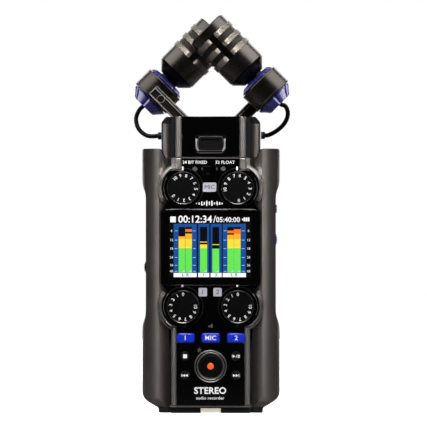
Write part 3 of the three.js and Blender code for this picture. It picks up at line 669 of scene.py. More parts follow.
# ---- outlines with eased corners
def softened(corners):
    """An outline whose corners (u, v, reach) are each rounded over their reach."""
    steps, most = 5, 0.45  # most: the part of an edge that one corner may take up
    points = []
    for i, (u, v, reach) in enumerate(corners):
        here = Vector((u, v))
        before = Vector(corners[i - 1][:2]) - here
        after = Vector(corners[(i + 1) % len(corners)][:2]) - here
        start = here + before.normalized() * min(reach, most * before.length)
        end = here + after.normalized() * min(reach, most * after.length)
        for t in [k / steps for k in range(steps + 1)]:
            points.append(tuple((1 - t) ** 2 * start + 2 * t * (1 - t) * here + t * t * end))
    return points


def oval(u, v, across, up, start, end, steps):
    """Points along an ellipse, angles in degrees."""
    return [(u + across * x, v + up * y) for x, y in arc(0, 0, 1, start, end, steps)]


def case_outline(i=0.0):
    """The case from the front, i millimetres inside its edge."""
    return softened(mirrored([
        (FOOT - i, i, 0.9), (FOOT - i, 2.4 + 0.6 * i, 0.8), (HALF - i, 7.6 + 0.6 * i, 3.0),
        (HALF - i, 43 - 0.4 * i, 3.0), (WAIST - i, 48.5 - 0.4 * i, 3.0),
        (WAIST - i, 109.5 + 0.4 * i, 3.0), (HALF - i, 114.5 + 0.4 * i, 3.0),
        (HALF - i, TOP_OF_CASE - i, 1.3), (25.4 + i, TOP_OF_CASE - i, 0.6), (23.2 + i, DOCK - i, 0.4)]))


def front_section():
    """The front shell from above: a sunk edge beside the panel, then a rounded rail."""
    crest, edge = 25.7, HALF + 0.02
    ramp = [(19.6, -DECK), (19.7, -14.9), (20.5, -14.7), (21.6, -15.5), (22.7, -16.8), (23.8, -17.9)]
    return mirrored(ramp + oval(crest, -8, edge - crest, CREST - 8, -90, 0, 22)
                    + [(edge, 3.85 - SEAM)])


def rear_section():
    """The rear shell from above, its long edges rounded."""
    bend, edge = 29.8, HALF + 0.02
    return mirrored([(edge, SEAM + SEAM_GAP)] + oval(bend, 14, edge - bend, REAR - 14, 0, 90, 14))


# ---- openings that both shells share
def brick(low, high):
    """A box between two corners."""
    return prism(box2(low[0], high[0], low[1], high[1]), low[2], high[2], TOP)


def jack_openings():
    """The mouths of the input sockets, with the slots of their latch tabs."""
    cutters = []
    for jack in JACKS.values():
        cutters.append(prism(circle(jack.x, JACK_Y, 11.3, 64), -1, 4.5, TOP))
        cutters.append(brick((jack.x - 3.5, 16.4, -1), (jack.x + 3.5, 19.6, 4.5)))
    return cutters


def tenon_hole():
    half, depth, low = TENON
    return prism(rounded(2 * half + 0.6, 2 * depth + 0.6, 0.8), low, TOP_OF_CASE + 1, TOP)


# ---- the case
def front_openings(low, high):
    """Holes through the front for its buttons, knobs and switch."""
    cutters = [prism(track_outline(label, 0.25), low, high, front("track_button_" + label))
               for label in TRACKS]
    cutters += [prism(circle(0, 0, 2.55, 32), low, high, front(node)) for node in TRANSPORT]
    cutters += [prism(circle(0, 0, 4.2, 32), low, high, place) for place in KNOBS.values()]
    cutters.append(prism(box2(-3.75, 2.75, 118.55, 123.25), low, high, FRONT))
    return cutters


def track_outline(label, grow=0.0):
    """A track button: the outer ends of the outer two are round."""
    a, b = 4.55 + grow, 2.3 + grow
    left, right = [2.1 if label == outer else 1.1 for outer in ("1", "2")]
    return (arc(a - right, b - right, right, 0, 90, 6) + arc(-a + left, b - left, left, 90, 180, 6)
            + arc(-a + left, -b + left, left, 180, 270, 6)
            + arc(a - right, -b + right, right, 270, 360, 6))


def on_skin(test):
    """Picks the edges on the outside of a case half: at its sides and ends, or where test says."""
    return where(lambda p: test(p) or abs(p.x) > 31.3 or p.z < 1 or p.z > CEILING + 1, SHORTEST)


def sole_and_shell(side, bm):
    """A case half in satin paint, on a black sole that is moulded with it."""
    sole = carved(bm.copy(), [brick((-FAR, -FAR, -1), (FAR, FAR, SOLE))], "INTERSECT")
    painted = carved(bm, [brick((-FAR, -FAR, -1), (FAR, FAR, SOLE + 0.05))])
    piece(side + "_case_shell", painted, "case", "paint", [side + "_shell"])
    piece(side + "_case_sole", sole, "case", "plastic")


def build_front_shell():
    blank = carved(prism(case_outline(), SEAM_GAP - SEAM, 30, FRONT),
                   [prism(front_section(), -1, TOP_OF_CASE + 1, TOP)], "INTERSECT")
    inside = mirrored([(18.6, -INNER_FRONT), (19.4, -13.0), (25, -13.0), (INNER, -8), (INNER, SEAM)])
    shell = carved(blank, [
        prism(inside, FLOOR, CEILING, TOP),
        together(*front_openings(12, 30)),
        prism(circle(0, 23.5, 5.35), 12, 30, FRONT),
        prism(box2(-22, 22, 65.6, 100.2), 12, 30, FRONT),
        together(*jack_openings()),
        tenon_hole(),
        together(
            brick((-FAR, -6.4, 66.6), (-INNER + 1, -1.6, 78.6)),
            brick((INNER - 1, -8.4, 78.9), (FAR, -2.6, 94.1)),
            brick((INNER - 1, -7.0, 99.6), (FAR, -4.0, 107.9)),
            brick((31.1, -9.8, 56.7), (FAR, -2.2, 74.3)),
            prism(circle(0, 0, 2.9, 32), 29, FAR, PHONES),
            prism(rounded(3.8, 9.6, 1.7), 29, FAR, at(LEFT, 0, -7, 54))),
        brick((29, -8.9, 58.5), (31.2, -6.0, 71.5)),
        brick((-5, -FAR, -1), (5, -13, 3.0)),
        brick((-6.3, -17.9, -1), (6.3, -15.5, 2.6)),
    ])
    toe = [(-30, 10.4), (-18.95, 10.4), (-18.5, 7.6), (-17.4, 5.2), (-15.6, 2.9), (-15.6, -1), (-30, -1)]
    for side in (-1, 1):
        shell = carved(shell, [prism(toe, *sorted((side * 20.95, side * FAR)), RIGHT)])
    sole_and_shell("front", eased(shell, 0.3, 2, 36, on_skin(lambda p: p.y < -16.6)))


def build_rear_shell():
    blank = carved(prism(case_outline(), -30, -SEAM - SEAM_GAP, FRONT),
                   [prism(rear_section(), -1, TOP_OF_CASE + 1, TOP)], "INTERSECT")
    inside = mirrored([(INNER, SEAM), (INNER, 14), (27.5, 20)])
    hollow = carved(blank, [prism(inside, FLOOR, CEILING, TOP)])
    bay = carved(hollow, [
        brick((-30.6, 3.8, 37.1), (30.6, 20.4, 93.9)),
        brick((-28, 17.6, 91.5), (28, 20.4, 101)),
        together(*[prism(circle(s * SCREW_X, SCREW_Z, 3.4, 32), -20.4, -SEAM - SEAM_GAP, FRONT)
                   for s in SIDES.values()]),
    ], "UNION")
    rows = [(0, (-5.4, -1.8, 1.8, 5.4)), (3.2, (-3.6, 0, 3.6)), (-3.2, (-3.6, 0, 3.6))]
    grille = [prism(circle(x, 112 + dz, 0.8, 16), -FAR, -19, FRONT) for dz, xs in rows for x in xs]
    screw = [(0, -1), (1.4, -1), (1.4, 20.3), (2.9, 20.3), (2.9, 21.3), (3.4, 22.5), (3.4, 30), (0, 30)]
    shell = carved(bay, [
        brick((-29.3, 5.2, 38.5), (29.3, FAR, 92.5)),
        brick((-29.7, 19.8, 36.9), (29.7, FAR, 98.9)),
        together(*grille),
        together(*[lathe(screw, at(BACK, s * SCREW_X, 0, SCREW_Z), 32) for s in SIDES.values()]),
        prism(circle(0, SCREW_Z, 4.9, 48), -FAR, -19, FRONT),
        together(*jack_openings()),
        tenon_hole(),
    ])
    sole_and_shell("rear", eased(shell, 0.28, 2, 36, on_skin(lambda p: p.y > 20.2)))


def build_gasket():
    """A dark strip inside the seam, so that no light passes between the case halves."""
    low, high = -SEAM - 0.6, -SEAM + 0.6
    ring = carved(prism(case_outline(1.0), low, high, FRONT), [prism(case_outline(1.7), -4, 0, FRONT)])
    bm = carved(ring, [together(*jack_openings()), tenon_hole()])
    piece("seam_gasket", bm, "case", "plastic")


def build_dock_lining():
    """A black lining where the head's lower corners meet the case, painting the shade in the gap between
    them.
    """
    for side, s in SIDES.items():
        edge = flipped([(23.28, 127.5), (25.3, 131.8), (24.86, 131.8), (22.84, 127.5)], s)
        piece("dock_lining_" + side, prism(edge, -14, 15.4, FRONT), "case", "matte")


# For each rail its outline on the right and its body; for each black strip, painted shade in the groove
# beside a rail, also how deep it lies.
RAILS = {
    "lower_rail_": (box2(17.2, 19.4, 3.9, 42.8), "case"),
    "upper_rail_": (box2(14.6, 17.4, 121.2, 127.25), "case"),
    "head_pillar_": ([(14.6, 127.65), (17.4, 127.65), (17.4, 145.9), (16.0, 148), (14.6, 148)], "head"),
}
SHADE_STRIPS = {
    "lower_strip_": (box2(19.35, 20.9, 3.9, 42.6), 13.6, 15.6, "case"),
    "upper_strip_": (box2(17.45, 20.9, 121.4, 127.1), 13.6, 16.2, "case"),
    "head_strip_": (box2(17.45, 19.9, 127.9, 147.8), 10.5, 13.4, "head"),
}


def build_rails():
    """Raised metal rails whose front edges are rounded off, and black strips beside them that paint the
    shade in the grooves.
    """
    for side, s in SIDES.items():
        for name, (outline, body) in RAILS.items():
            bm = prism(flipped(outline, s), 17.9, RAIL_FRONT, FRONT)
            piece(name + side, eased(bm, 0.75, 4, 40, facing(RAIL_FRONT)), body, "trim")
        for name, (outline, low, high, body) in SHADE_STRIPS.items():
            # Black strips in the grooves: painted shade.
            bm = prism(flipped(outline, s), low, high, FRONT)
            piece(name + side, bm, body, "matte")


GUARD_BROAD = [(10.9, 16.6), (10.9, 22.7), (11.1, 23.05), (11.4, 23.15), (11.7, 22.95), (11.95, 22.7),
               (12.2, 22.4), (12.45, 22.05), (12.7, 21.65), (12.9, 21.2), (12.9, 16.6), (10.9, 16.6)]
GUARD_RIDGED = [(10.9, 16.6), (10.9, 22.1), (11.05, 22.4), (11.3, 22.5), (11.5, 22.2), (11.6, 20.4),
                (12.2, 20.4), (12.3, 22.2), (12.5, 22.5), (12.9, 22.0), (12.9, 16.6), (10.9, 16.6)]


def guard(name, place, start, end, broad):
    """The crescent that shields a knob: one sloped face from broad[0] to broad[1], and two thin
    ridges along the rest."""

    def shape(angle, j, r, w):
        inside = min(angle - broad[0], broad[1] - angle)
        full = max(0.0, min(1.0, 0.5 + inside / 16))
        (r0, w0), (r1, w1) = GUARD_RIDGED[j], GUARD_BROAD[j]
        r, w = r0 + full * (r1 - r0), w0 + full * (w1 - w0)
        tip = max(0.0, min(1.0, min(angle - start, end - angle) / 14))
        if w > 18:
            w = 18.4 + (w - 18.4) * (0.1 + 0.9 * math.sin(tip * math.pi / 2))
        return r, w

    bm = lathe(GUARD_BROAD, place, 90, start, end, shape)
    # The input guards take the darker trim and the microphone guards the bright trim: painted shaded and
    # lit copies of one part.
    piece("knob_guard_" + name, bm, "case", "trim" if "input" in name else "bright")


def build_guards():
    # For each knob: where its guard starts and ends, the guard's broad stretch, and the middle of its
    # bright line, a painted highlight on the well's edge.
    ends = {"mic_left": (110, 218, (100, 165), 182), "mic_right": (-38, 70, (15, 80), -2),
            "input_1": (142, 250, (132, 178), 172), "input_2": (-70, 38, (2, 48), 8)}
    profile = [(9.7, 20.3), (9.95, 20.3), (9.95, 20.75), (9.83, 20.85), (9.7, 20.75), (9.7, 20.3)]
    for name, (start, end, broad, line) in ends.items():
        guard(name, KNOBS[name], start, end, broad)
        # A short bright arc on the well's edge: a painted highlight.
        bm = lathe(profile, KNOBS[name], 40, line - 34, line + 34)
        piece("knob_well_line_" + name, bm, "case", "bright")


# ---- front panel and display
def build_panel():
    panel = eased(replica("front_panel"), 0.22, 2, 40, facing(PANEL_FRONT, 0.1))
    piece("gloss_panel", panel, "case", "gloss", ["front_panel"])
    collar = [(10.15, 19.4), (10.15, 20.3), (10.0, 20.5), (9.7, 20.5), (9.55, 20.3), (9.55, 19.4),
              (10.15, 19.4)]
    for name, place in KNOBS.items():
        piece("knob_well_ring_" + name, lathe(collar, place, 96), "case", "plastic")
    lens = eased(replica("display_lens"), 0.3, 3, 40, facing(20.9))
    piece("display_window", lens, "case", "glass", ["display_lens"])


class Print:
    """Flat shapes on a surface at w = low, gathered by colour and made into one piece each."""

    def __init__(self, name, body, slot, place, low, thick=0.05):
        self.name, self.body, self.slot, self.place = name, body, slot, place
        self.low, self.thick = low, thick
        self.parts = {}

    def add(self, color, bm):
        self.parts.setdefault(color, []).append(bm)

    def area(self, color, outline, rise=0.0, thick=None):
        low = self.low + rise
        self.add(color, prism(outline, low, low + (thick or self.thick), self.place))

    def words(self, color, text, height, u, v, rise=0.0, thick=None, heavy=0.0, spread=0.0, turned=0.0):
        """Words of this height of capitals, centred on u and v."""
        thick = thick or self.thick
        middle_w = self.low + rise + thick / 2
        place = self.place @ Matrix.Translation((u, v, middle_w)) @ turn(turned, "Z")
        self.add(color, lettering(text, height / 0.69, place, thick, spread, heavy))

    def finish(self):
        for color, parts in self.parts.items():
            piece(self.name + "_" + color, together(*parts), self.body, color)


def build_display():
    """The lit level display. Its blocks lie on the window's face, in thin layers."""
    layer = 0.02
    screen = Print("display", "case", "screen", at(FRONT, -0.2, 0, 83.0), -box_of("display_lens")[0].y,
                   layer)

    def block(color, u0, u1, v0, v1, level):
        screen.area(color, box2(u0, u1, v0, v1), level * layer)

    block("lcd_black", -20.4, 20.4, -15.3, 15.3, 0)
    for u0, u1 in ((-18.2, -6.7), (-5.95, -0.46), (0.25, 5.75), (6.27, 17.8)):
        block("lcd_field", u0, u1, -12.8, 11.5, 1)
        block("lcd_paper", u0, u1, -15.1, -13.0, 1)
    # Each bar's edges and top, and the low and high edge of its peak mark if it shows one.
    bars = [(-15.7, -12.5, 5.2, None), (-12.3, -9.1, 6.6, (7.5, 8.8)), (-5.05, -1.5, 1.2, (2.2, 2.6)),
            (1.1, 4.5, -0.9, (0.9, 1.3)), (8.6, 11.8, 6.0, (6.8, 8.1)), (11.9, 15.15, 8.8, None)]
    steps = [("lcd_green", -12.8, -0.7), ("lcd_yellow", -0.7, 3.9), ("lcd_amber", 3.9, 6.5),
             ("lcd_orange", 6.5, 8.8)]
    for u0, u1, top, peak in bars:
        block("lcd_black", u0, u1, top, 9.9, 2)
        for color, low, high in steps:
            if top > low:
                block(color, u0, u1, low, min(high, top), 2)
        if peak:
            block("lcd_yellow" if peak[1] < 5 else "lcd_orange", u0, u1, *peak, 3)
        corner = [(u1 - 1.5, -12.7), (u1 - 0.2, -12.7), (u1 - 0.2, -11.3)]
        screen.area("lcd_rule", corner, 3 * layer)
    marks = {7.95: "6", 3.35: "12", -0.9: "18", -5.3: "24", -9.2: "36", -12.2: "48"}
    for v in marks:
        for u0, u1 in ((-17.6, -16.3), (-8.6, -7.2), (6.7, 8.1), (15.7, 17.2)):
            block("lcd_rule", u0, u1, v - 0.12, v + 0.12, 2)
    for v, text in marks.items():
        for u in (-19.25, 19.1):
            screen.words("lcd_paper", text, 1.15, u, v, 2 * layer)
    for u, text in ((-12.4, "L  R"), (-3.2, "1"), (3.0, "2"), (12.0, "L  R")):
        screen.words("lcd_field", text, 1.4, u, -14.05, 2 * layer, heavy=0.04)
    block("lcd_paper", -19.9, -17.1, 12.2, 15.1, 1)
    for text, tall, u, v, heavy in (("00:12:34", 3.4, -7.5, 13.6, 0.09), ("/", 3.2, 2.2, 13.6, 0.05),
                                    ("05:40:00", 2.4, 8.9, 13.4, 0.05)):
        screen.words("lcd_paper", text, tall, u, v, layer, heavy=heavy)
    for u in (16.6, 17.65, 18.7):
        block("lcd_paper", u, u + 0.85, 12.7, 14.6, 1)
    block("lcd_paper", 15.9, 16.4, 13.2, 14.1, 1)
    screen.finish()


def star(u, v, radius):
    return [(u + r * math.sin(math.radians(36 * i)), v + r * math.cos(math.radians(36 * i)))
            for i in range(10) for r in [radius if i % 2 == 0 else 0.45 * radius]]


def build_labels():
    """Printing on the gloss panel: generic words, scales and marks. Where two marks cross, one is
    thinner, and letters stand on their badge."""
    ink = Print("panel_print", "case", "gloss", FRONT, PANEL_FRONT)
    badge, thin = ink.thick, 0.04
    ink.words("white", "24 BIT FIXED", 1.5, -7.9, 125.05, heavy=0.02)
    ink.words("white", "32 FLOAT", 1.5, 7.2, 125.05, heavy=0.02, spread=0.05)
    for u, v in ((-13.9, 122.1), (13.2, 122.1), (-14.0, 64.0), (13.3, 64.0)):
        ink.area("white", rounded(0.85, 1.9, 0.25, u, v))
    for u in (-4.3, 3.1):
        ink.area("grey", rounded(0.5, 1.3, 0.15, u, 121.9))
    for u in (-7.8, 6.3):
        ink.area("grey", rounded(2.6, 1.1, 0.3, u, 121.9))
        ink.area("grey", rounded(1.3, 2.2, 0.3, u, 121.9), thick=thin)
    for text, u, v, wide, tall, radius, letter in (("MIC", -0.5, 112.7, 6.7, 4.6, 0.7, 2.1),
                                                   ("1", -3.9, 60.4, 4.3, 4.2, 0.6, 2.3),
                                                   ("2", 3.5, 60.4, 4.3, 4.2, 0.6, 2.3)):
        ink.area("badge", rounded(wide, tall, radius, u, v))
        ink.words("plastic", text, letter, u, v, badge, thin)
    heights = (0.7, 1.3, 2.1, 1.5, 2.6, 1.9, 2.6, 1.2, 2.0, 1.4, 0.8)
    for i, tall in enumerate(heights):
        u = -0.6 + (i - (len(heights) - 1) / 2) * 1.28
        ink.area("white", rounded(0.62, tall, 0.28, u, 104.65))
    for u in (-13.0, 0.0, 12.9):
        ink.area("grey", rounded(2.3, 1.0, 0.45, u, 43.3))
        ink.area("grey", rounded(0.9, 2.0, 0.4, u + 0.6, 43.6), thick=thin)
    ink.area("grey", star(-5.6, 31.6, 1.5))
    ink.words("white", "STEREO", 3.1, -0.2, 11.2, heavy=0.12, spread=0.04)
    ink.words("white", "audio recorder", 1.45, -0.2, 7.6, heavy=0.035, spread=0.08)
    ink.finish()


def build_transport_marks():
    marks = {body: Print(body + "_mark", body, "gloss", front(node), BUTTON_FRONT)
             for node, body in TRANSPORT.items()}
    marks["stop"].area("white", rounded(2.0, 2.0, 0.15))
    marks["play"].area("white", [(-1.8, -0.8), (-0.35, 0), (-1.8, 0.8)])
    marks["play"].area("white", [(-0.15, -0.8), (0.1, -0.8), (0.65, 0.8), (0.4, 0.8)])
    for u in (0.85, 1.4):
        marks["play"].area("white", box2(u, u + 0.4, -0.8, 0.8))
    for name, s in (("rewind", -1), ("forward", 1)):
        for u in (-1.55, -0.15):
            marks[name].area("white", flipped([(u, -0.72), (u + 1.35, 0), (u, 0.72)], s))
        marks[name].area("white", box2(*sorted((s * 1.3, s * 1.65)), -0.72, 0.72))
    for mark in marks.values():
        mark.finish()


# ---- knobs and buttons
def build_knobs():
    top = KNOB_FRONT
    for name, place in KNOBS.items():
        body = "knob_" + name
        cap = lathe([(0, top - 0.25), (7.2, top - 0.25), (7.4, top - 0.05), (7.65, top),
                     (7.95, top - 0.2), (8.1, top - 0.6), (8.1, top - 1.0), (7.7, top - 1.0),
                     (0, top - 1.2)], place, 96)
        grip = prism(toothed(8.25, 0.3, 60), 20.4, top - 0.95, place)
        skirt = lathe([(7.9, 19.85), (8.1, 19.85), (8.25, 20.1), (8.25, 20.4), (7.9, 20.45),
                       (7.9, 19.85)], place, 96)
        stem = lathe([(0, 12.1), (2.7, 12.1), (3.0, 12.4), (3.0, 20.1), (7.95, 20.1), (7.95, 20.4),
                      (0, 20.4)], place, 48)
        piece("dial_" + name, together(cap, grip, skirt, stem), body, "matte",
              ["gain_knob_" + name])
        line = lathe([(7.86, top - 0.13), (8.0, top - 0.05), (8.12, top - 0.3), (7.95, top - 0.3),
                      (7.86, top - 0.13)], place, 96)
        piece("dial_edge_" + name, line, body, "metal")
        scale = Print("dial_numbers_" + name, body, "knob", place, top - 0.25)
        for n in range(11):
            angle = (n - SETTINGS[name]) * STEP
            a = math.radians(angle)
            scale.words("white", str(n), 1.6, -6.15 * math.sin(a), 6.15 * math.cos(a), heavy=0.015,
                        turned=angle)
        scale.finish()


def build_buttons():
    track_front = 21.3
    for label, text in zip(TRACKS, ("1", "MIC", "2")):
        node, body = "track_button_" + label, "track_" + label
        cap = prism(track_outline(label), 16.1, track_front, front(node))
        piece("track_key_" + label, eased(cap, 0.55, 4, 50, facing(track_front)), body, "blue",
              [node])
        mark = Print("track_mark_" + label, body, "blue", front(node), track_front, 0.06)
        mark.words("white", text, 2.15, 0, -0.05, heavy=0.06, spread=0.1)
        mark.finish()
    profile = [(0, 20.8), (0.9, 20.84), (1.5, 20.92), (1.8, 21.0), (2.1, 20.93), (2.28, 20.7),
               (2.3, 20.3), (2.3, 16.1), (0, 16.1)]
    for node, body in TRANSPORT.items():
        piece(node + "_cap", lathe(profile, front(node), 48), body, "plastic", [node])


def build_record():
    """The record button with its lamp, and the ring and bright rims round it."""
    place = front("record_button")
    disc = lathe([(0, 21.2), (2.2, 21.22), (4.4, 21.35), (4.75, 21.5), (4.98, 21.42), (5.07, 21.2),
                  (5.07, 20.9), (5.6, 20.8), (6.1, 20.55), (6.1, 19.4), (5.1, 19.4), (5.1, 16.1),
                  (0, 16.1)], place, 96)
    piece("record_key", disc, "record", "matte", ["record_button"])
    inner = lathe([(5.75, 20.72), (6.0, 20.85), (6.15, 20.6), (6.15, 20.3), (5.75, 20.3),
                   (5.75, 20.72)], place, 96)
    piece("record_key_edge", inner, "record", "plastic")
    lamp = lathe([(0, 21.42), (0.8, 21.4), (1.4, 21.33), (1.62, 21.2), (1.62, 21.0), (0, 21.0)],
                 place, 48)
    piece("record_lamp", lamp, "record", "orange")
    ring = lathe([(6.5, 18.95), (6.5, 21.0), (6.75, 21.05), (7.0, 20.7), (7.4, 20.7), (7.65, 21.3),
                  (8.0, 21.2), (8.0, 18.95), (6.5, 18.95)], place, 128)
    piece("record_surround", ring, "case", "plastic", ["record_ring"])
    rims = [lathe([(r, top - 0.6), (r + 0.42, top - 0.6), (r + 0.42, top - 0.3), (r + 0.36, top - 0.1),
                   (r + 0.21, top), (r + 0.06, top - 0.1), (r, top - 0.3), (r, top - 0.6)], place, 128)
            for r, top in ((6.5, 21.3), (7.58, 21.65))]
    piece("record_surround_rims", together(*rims), "case", "trim")


def build_switches():
    """The two ribbed sliders, and the two toothed wheels."""
    knob = middle("format_switch")
    ribs = [prism(box2(-0.09, 0.09, -1.9, 1.9), 21.0, 22, at(FRONT, knob.x + d, 0, knob.z))
            for d in (-1.0, -0.5, 0, 0.5, 1.0)]
    bm = eased(carved(replica("format_switch"), [together(*ribs)]), 0.12, 1)
    piece("format_slider", bm, "format", "gloss", ["format_switch"])

    y = middle("power_switch").y
    ridges = [prism(box2(-2, 2, -0.14, 0.14), 32.8, 34, at(RIGHT, 0, y, 102 + 0.75 * i))
              for i in range(-2, 3)]
    bm = eased(carved(replica("power_switch"), [together(*ridges)]), 0.12, 1)
    piece("power_slider", bm, "power", "plastic", ["power_switch"])

    for node, name, body, slot, look, teeth in (
            ("volume_wheel", "volume_roller", "volume", "knob", "matte", 44),
            ("menu_dial", "menu_roller", "menu", "blue", "blue", 56)):
        low, high = box_of(node)
        r, w0, w1 = (high.x - low.x) / 2, -high.y, -low.y
        tread = prism(toothed(r, 0.32, teeth), w0 + 0.5, w1 - 0.5, front(node))
        hub = lathe([(0, w0), (r - 0.8, w0), (r - 0.35, w0 + 0.25), (r - 0.3, w0 + 0.5),
                     (r - 0.3, w1 - 0.5), (r - 0.35, w1 - 0.25), (r - 0.8, w1), (0, w1)],
                    front(node), 64)
        piece(name, together(tread, hub), body, look, [node])


# ---- sockets and covers in the sides
def build_side_fittings():
    """The card's cover and holder, and the small sockets."""
    m = middle("card_door")
    grip = [prism(rounded(4.6, 0.35, 0.15, 0, 5.2 - 0.8 * i), 32.2, 33, at(RIGHT, 0, m.y - 1.2, m.z))
            for i in range(4)]
    door = eased(carved(replica("card_door"), [together(*grip)]), 0.2)
    piece("card_cover_flap", door, "card_cover", "matte", ["card_door"])
    piece("card_holder", eased(replica("card_slot"), 0.12, 1), "case", "steel", ["card_slot"])
    piece("usb_shield", eased(replica("usb_socket"), 0.12), "case", "steel", ["usb_socket"])
    phones = replica("headphone_jack")
    ring = lathe([(1.75, 32.1), (1.9, 32.35), (2.3, 32.4), (2.55, 32.25), (2.6, 31.9), (2.6, 31.4),
                  (1.75, 31.4), (1.75, 32.1)], PHONES, 48)
    piece("phones_socket", eased(phones, 0.1, 1, 50), "case", "plastic",
          ["headphone_jack"])
    piece("phones_ring", ring, "case", "steel")


# ---- foot
def build_jacks():
    """The two sockets that take a three-pin or a quarter-inch plug, with their latch tabs."""
    for label, jack in JACKS.items():
        node = "combo_jack_" + label
        x, high = jack.x, box_of(node)[1].z
        place = Matrix.Translation((x, JACK_Y, 0))
        housing = prism(rounded(24.8, 25.8, 1.0, x, JACK_Y), 3.8, high, TOP)
        nose = lathe([(0, 3.0), (11.0, 3.0), (11.0, 0.9), (10.7, 0.5), (10.3, 0.4), (9.9, 0.5),
                      (9.6, 0.9), (9.6, 2.9), (0, 2.95)], place, 96)
        shell = carved(housing, [nose], "UNION")
        bore = prism(circle(x, JACK_Y, 9.6, 96), -1, 19, TOP)
        core = lathe([(0, 19.5), (7.3, 19.5), (7.3, 7.6), (6.9, 7.1), (4.4, 7.0), (3.9, 7.6), (0, 7.6)],
                     place, 72)
        pins = [prism(circle(x + 5.3 * math.cos(a), JACK_Y + 5.3 * math.sin(a), 0.95, 24), 6, 15, TOP)
                for a in (math.radians(90), math.radians(210), math.radians(330))]
        key = prism(rounded(2.0, 1.4, 0.3, x, JACK_Y - 9.2), -1, 15, TOP)
        rib = prism(rounded(2.2, 1.6, 0.3, x, JACK_Y + 9.2), 3, 15, TOP)
        hole = prism(circle(x, JACK_Y, 3.3, 40), -1, 22.5, TOP)
        body = carved(carved(shell, [bore]), [core], "UNION")
        body = carved(body, [together(*pins), hole, key, rib])
        piece("input_socket_" + label, body, "case", "plastic", [node])
        profile = [(3.3, 7.9), (3.0, 7.9), (3.0, 12), (3.3, 12), (3.3, 7.9)]
        piece("input_sleeve_" + label, lathe(profile, place, 40), "case", "steel")
        grooves = [prism(box2(x - 2.4, x + 2.4, 17.3 + 0.6 * i, 17.55 + 0.6 * i), 0, 0.85, TOP)
                   for i in range(3)]
        bm = eased(carved(replica("jack_latch_" + label), [together(*grooves)]), 0.15)
        piece("latch_key_" + label, bm, "latch_" + label, "steel", ["jack_latch_" + label])


def build_strap_bar():
    low, high = box_of("strap_bar")
    across = rounded(high.y - low.y, high.z - low.z, 0.75, (low.y + high.y) / 2, (low.z + high.z) / 2, 8)
    bm = prism(across, low.x, high.x, RIGHT)
    # The pin's material carries a painted glow.
    piece("strap_pin", bm, "case", "pin", ["strap_bar"])


# ---- back
def build_battery_cover():
    """The cover, with five finger grooves, a line across and an arrow."""
    low, high = box_of("battery_door")
    half = (high.y - low.y) / 2
    section = [(low.y, low.z), (high.y, low.z)] + arc(low.y + half, high.z - half, half, 0, 180, 10)
    leaf = prism(section, low.x, high.x, RIGHT)
    grooves = [prism(rounded(20 - 1.6 * abs(i - 2), 0.7, 0.34, 0, low.z + 7.0 + 1.5 * i), 21.5, 23, BACK)
               for i in range(5)]
    line = prism(rounded(52, 0.5, 0.2, 0, 90.5), 21.65, 23, BACK)
    arrow = prism([(-1.7, 57.2), (1.7, 57.2), (0, 54.4)], 21.6, 23, BACK)
    bm = eased(carved(leaf, [together(line, arrow, *grooves)]), 0.22, 2, 36)
    piece("battery_cover_leaf", bm, "battery_cover", "paint", ["battery_door"])


def build_tripod_bush():
    """A brass insert with a threaded bore."""
    place = at(BACK, 0, 0, middle("tripod_bush").z)
    turns = []
    for i in range(14):
        w = 14.6 + 0.5 * i
        turns += [(3.1, w), (3.32, w + 0.12), (3.32, w + 0.22), (3.1, w + 0.34)]
    profile = ([(0, 13), (4.6, 13), (4.6, 17), (5.6, 17), (5.6, 19.6), (4.6, 19.6), (4.6, 21.7),
                (4.35, 22.0), (3.5, 22.0), (3.32, 21.8)] + list(reversed(turns)) + [(0, 14.5)])
    piece("tripod_insert", lathe(profile, place, 72), "case", "brass",
          ["tripod_bush"])


def build_case_screws():
    for side in SIDES:
        node = "case_screw_" + side
        place = at(BACK, middle(node).x, 0, middle(node).z)
        head = lathe([(0, -7), (0.4, -7), (1.0, -6.2), (1.0, 20.6), (2.6, 20.6), (2.6, 21.2),
                      (2.35, 21.5), (1.7, 21.68), (0, 21.7)], place, 40)
        cross = [prism(box2(-1.45, 1.45, -0.28, 0.28), 20.95, 23, place),
                 prism(box2(-0.28, 0.28, -1.45, 1.45), 20.95, 23, place)]
        piece("case_screw_head_" + side, carved(head, cross), "case", "steel", [node])


def build_cells():
    """Four cells, each the other way up from its neighbours."""
    for i in range(1, 5):
        node = "battery_cell_%d" % i
        low, high = box_of(node)
        m = (low + high) / 2
        up = i % 2 == 1
        place = Matrix.Translation((m.x, m.y, low.z)) if up else (
            Matrix.Translation((m.x, m.y, high.z)) @ turn(180, "X"))
        can = lathe([(0, 0), (4.6, 0), (4.8, 0.25), (5.4, 0.3), (5.9, 0.0), (6.7, 0.0), (7.1, 0.4),
                     (7.1, 48.4), (6.8, 48.9), (6.0, 49.0), (5.7, 48.8), (3.0, 48.8), (2.7, 49.1),
                     (2.65, 50.1), (2.4, 50.4), (0, 50.4)], place, 64)
        piece("cell_%d" % i, can, "case", "sleeve", [node])


# ---- plug-in head
def arm_bar(grow=0.0):
    """An arm in its microphone's own frame: along x, with w along -y."""
    start, end, low, high = -24.5, 2.5, -15.6, -11.4
    below, above = -43.3, -37.1
    return prism(box2(start - grow, end + grow, below - grow, above + grow), low - grow, high + grow,
                 FRONT)


def placed(bm, place):
    bm.transform(place)
    return bm


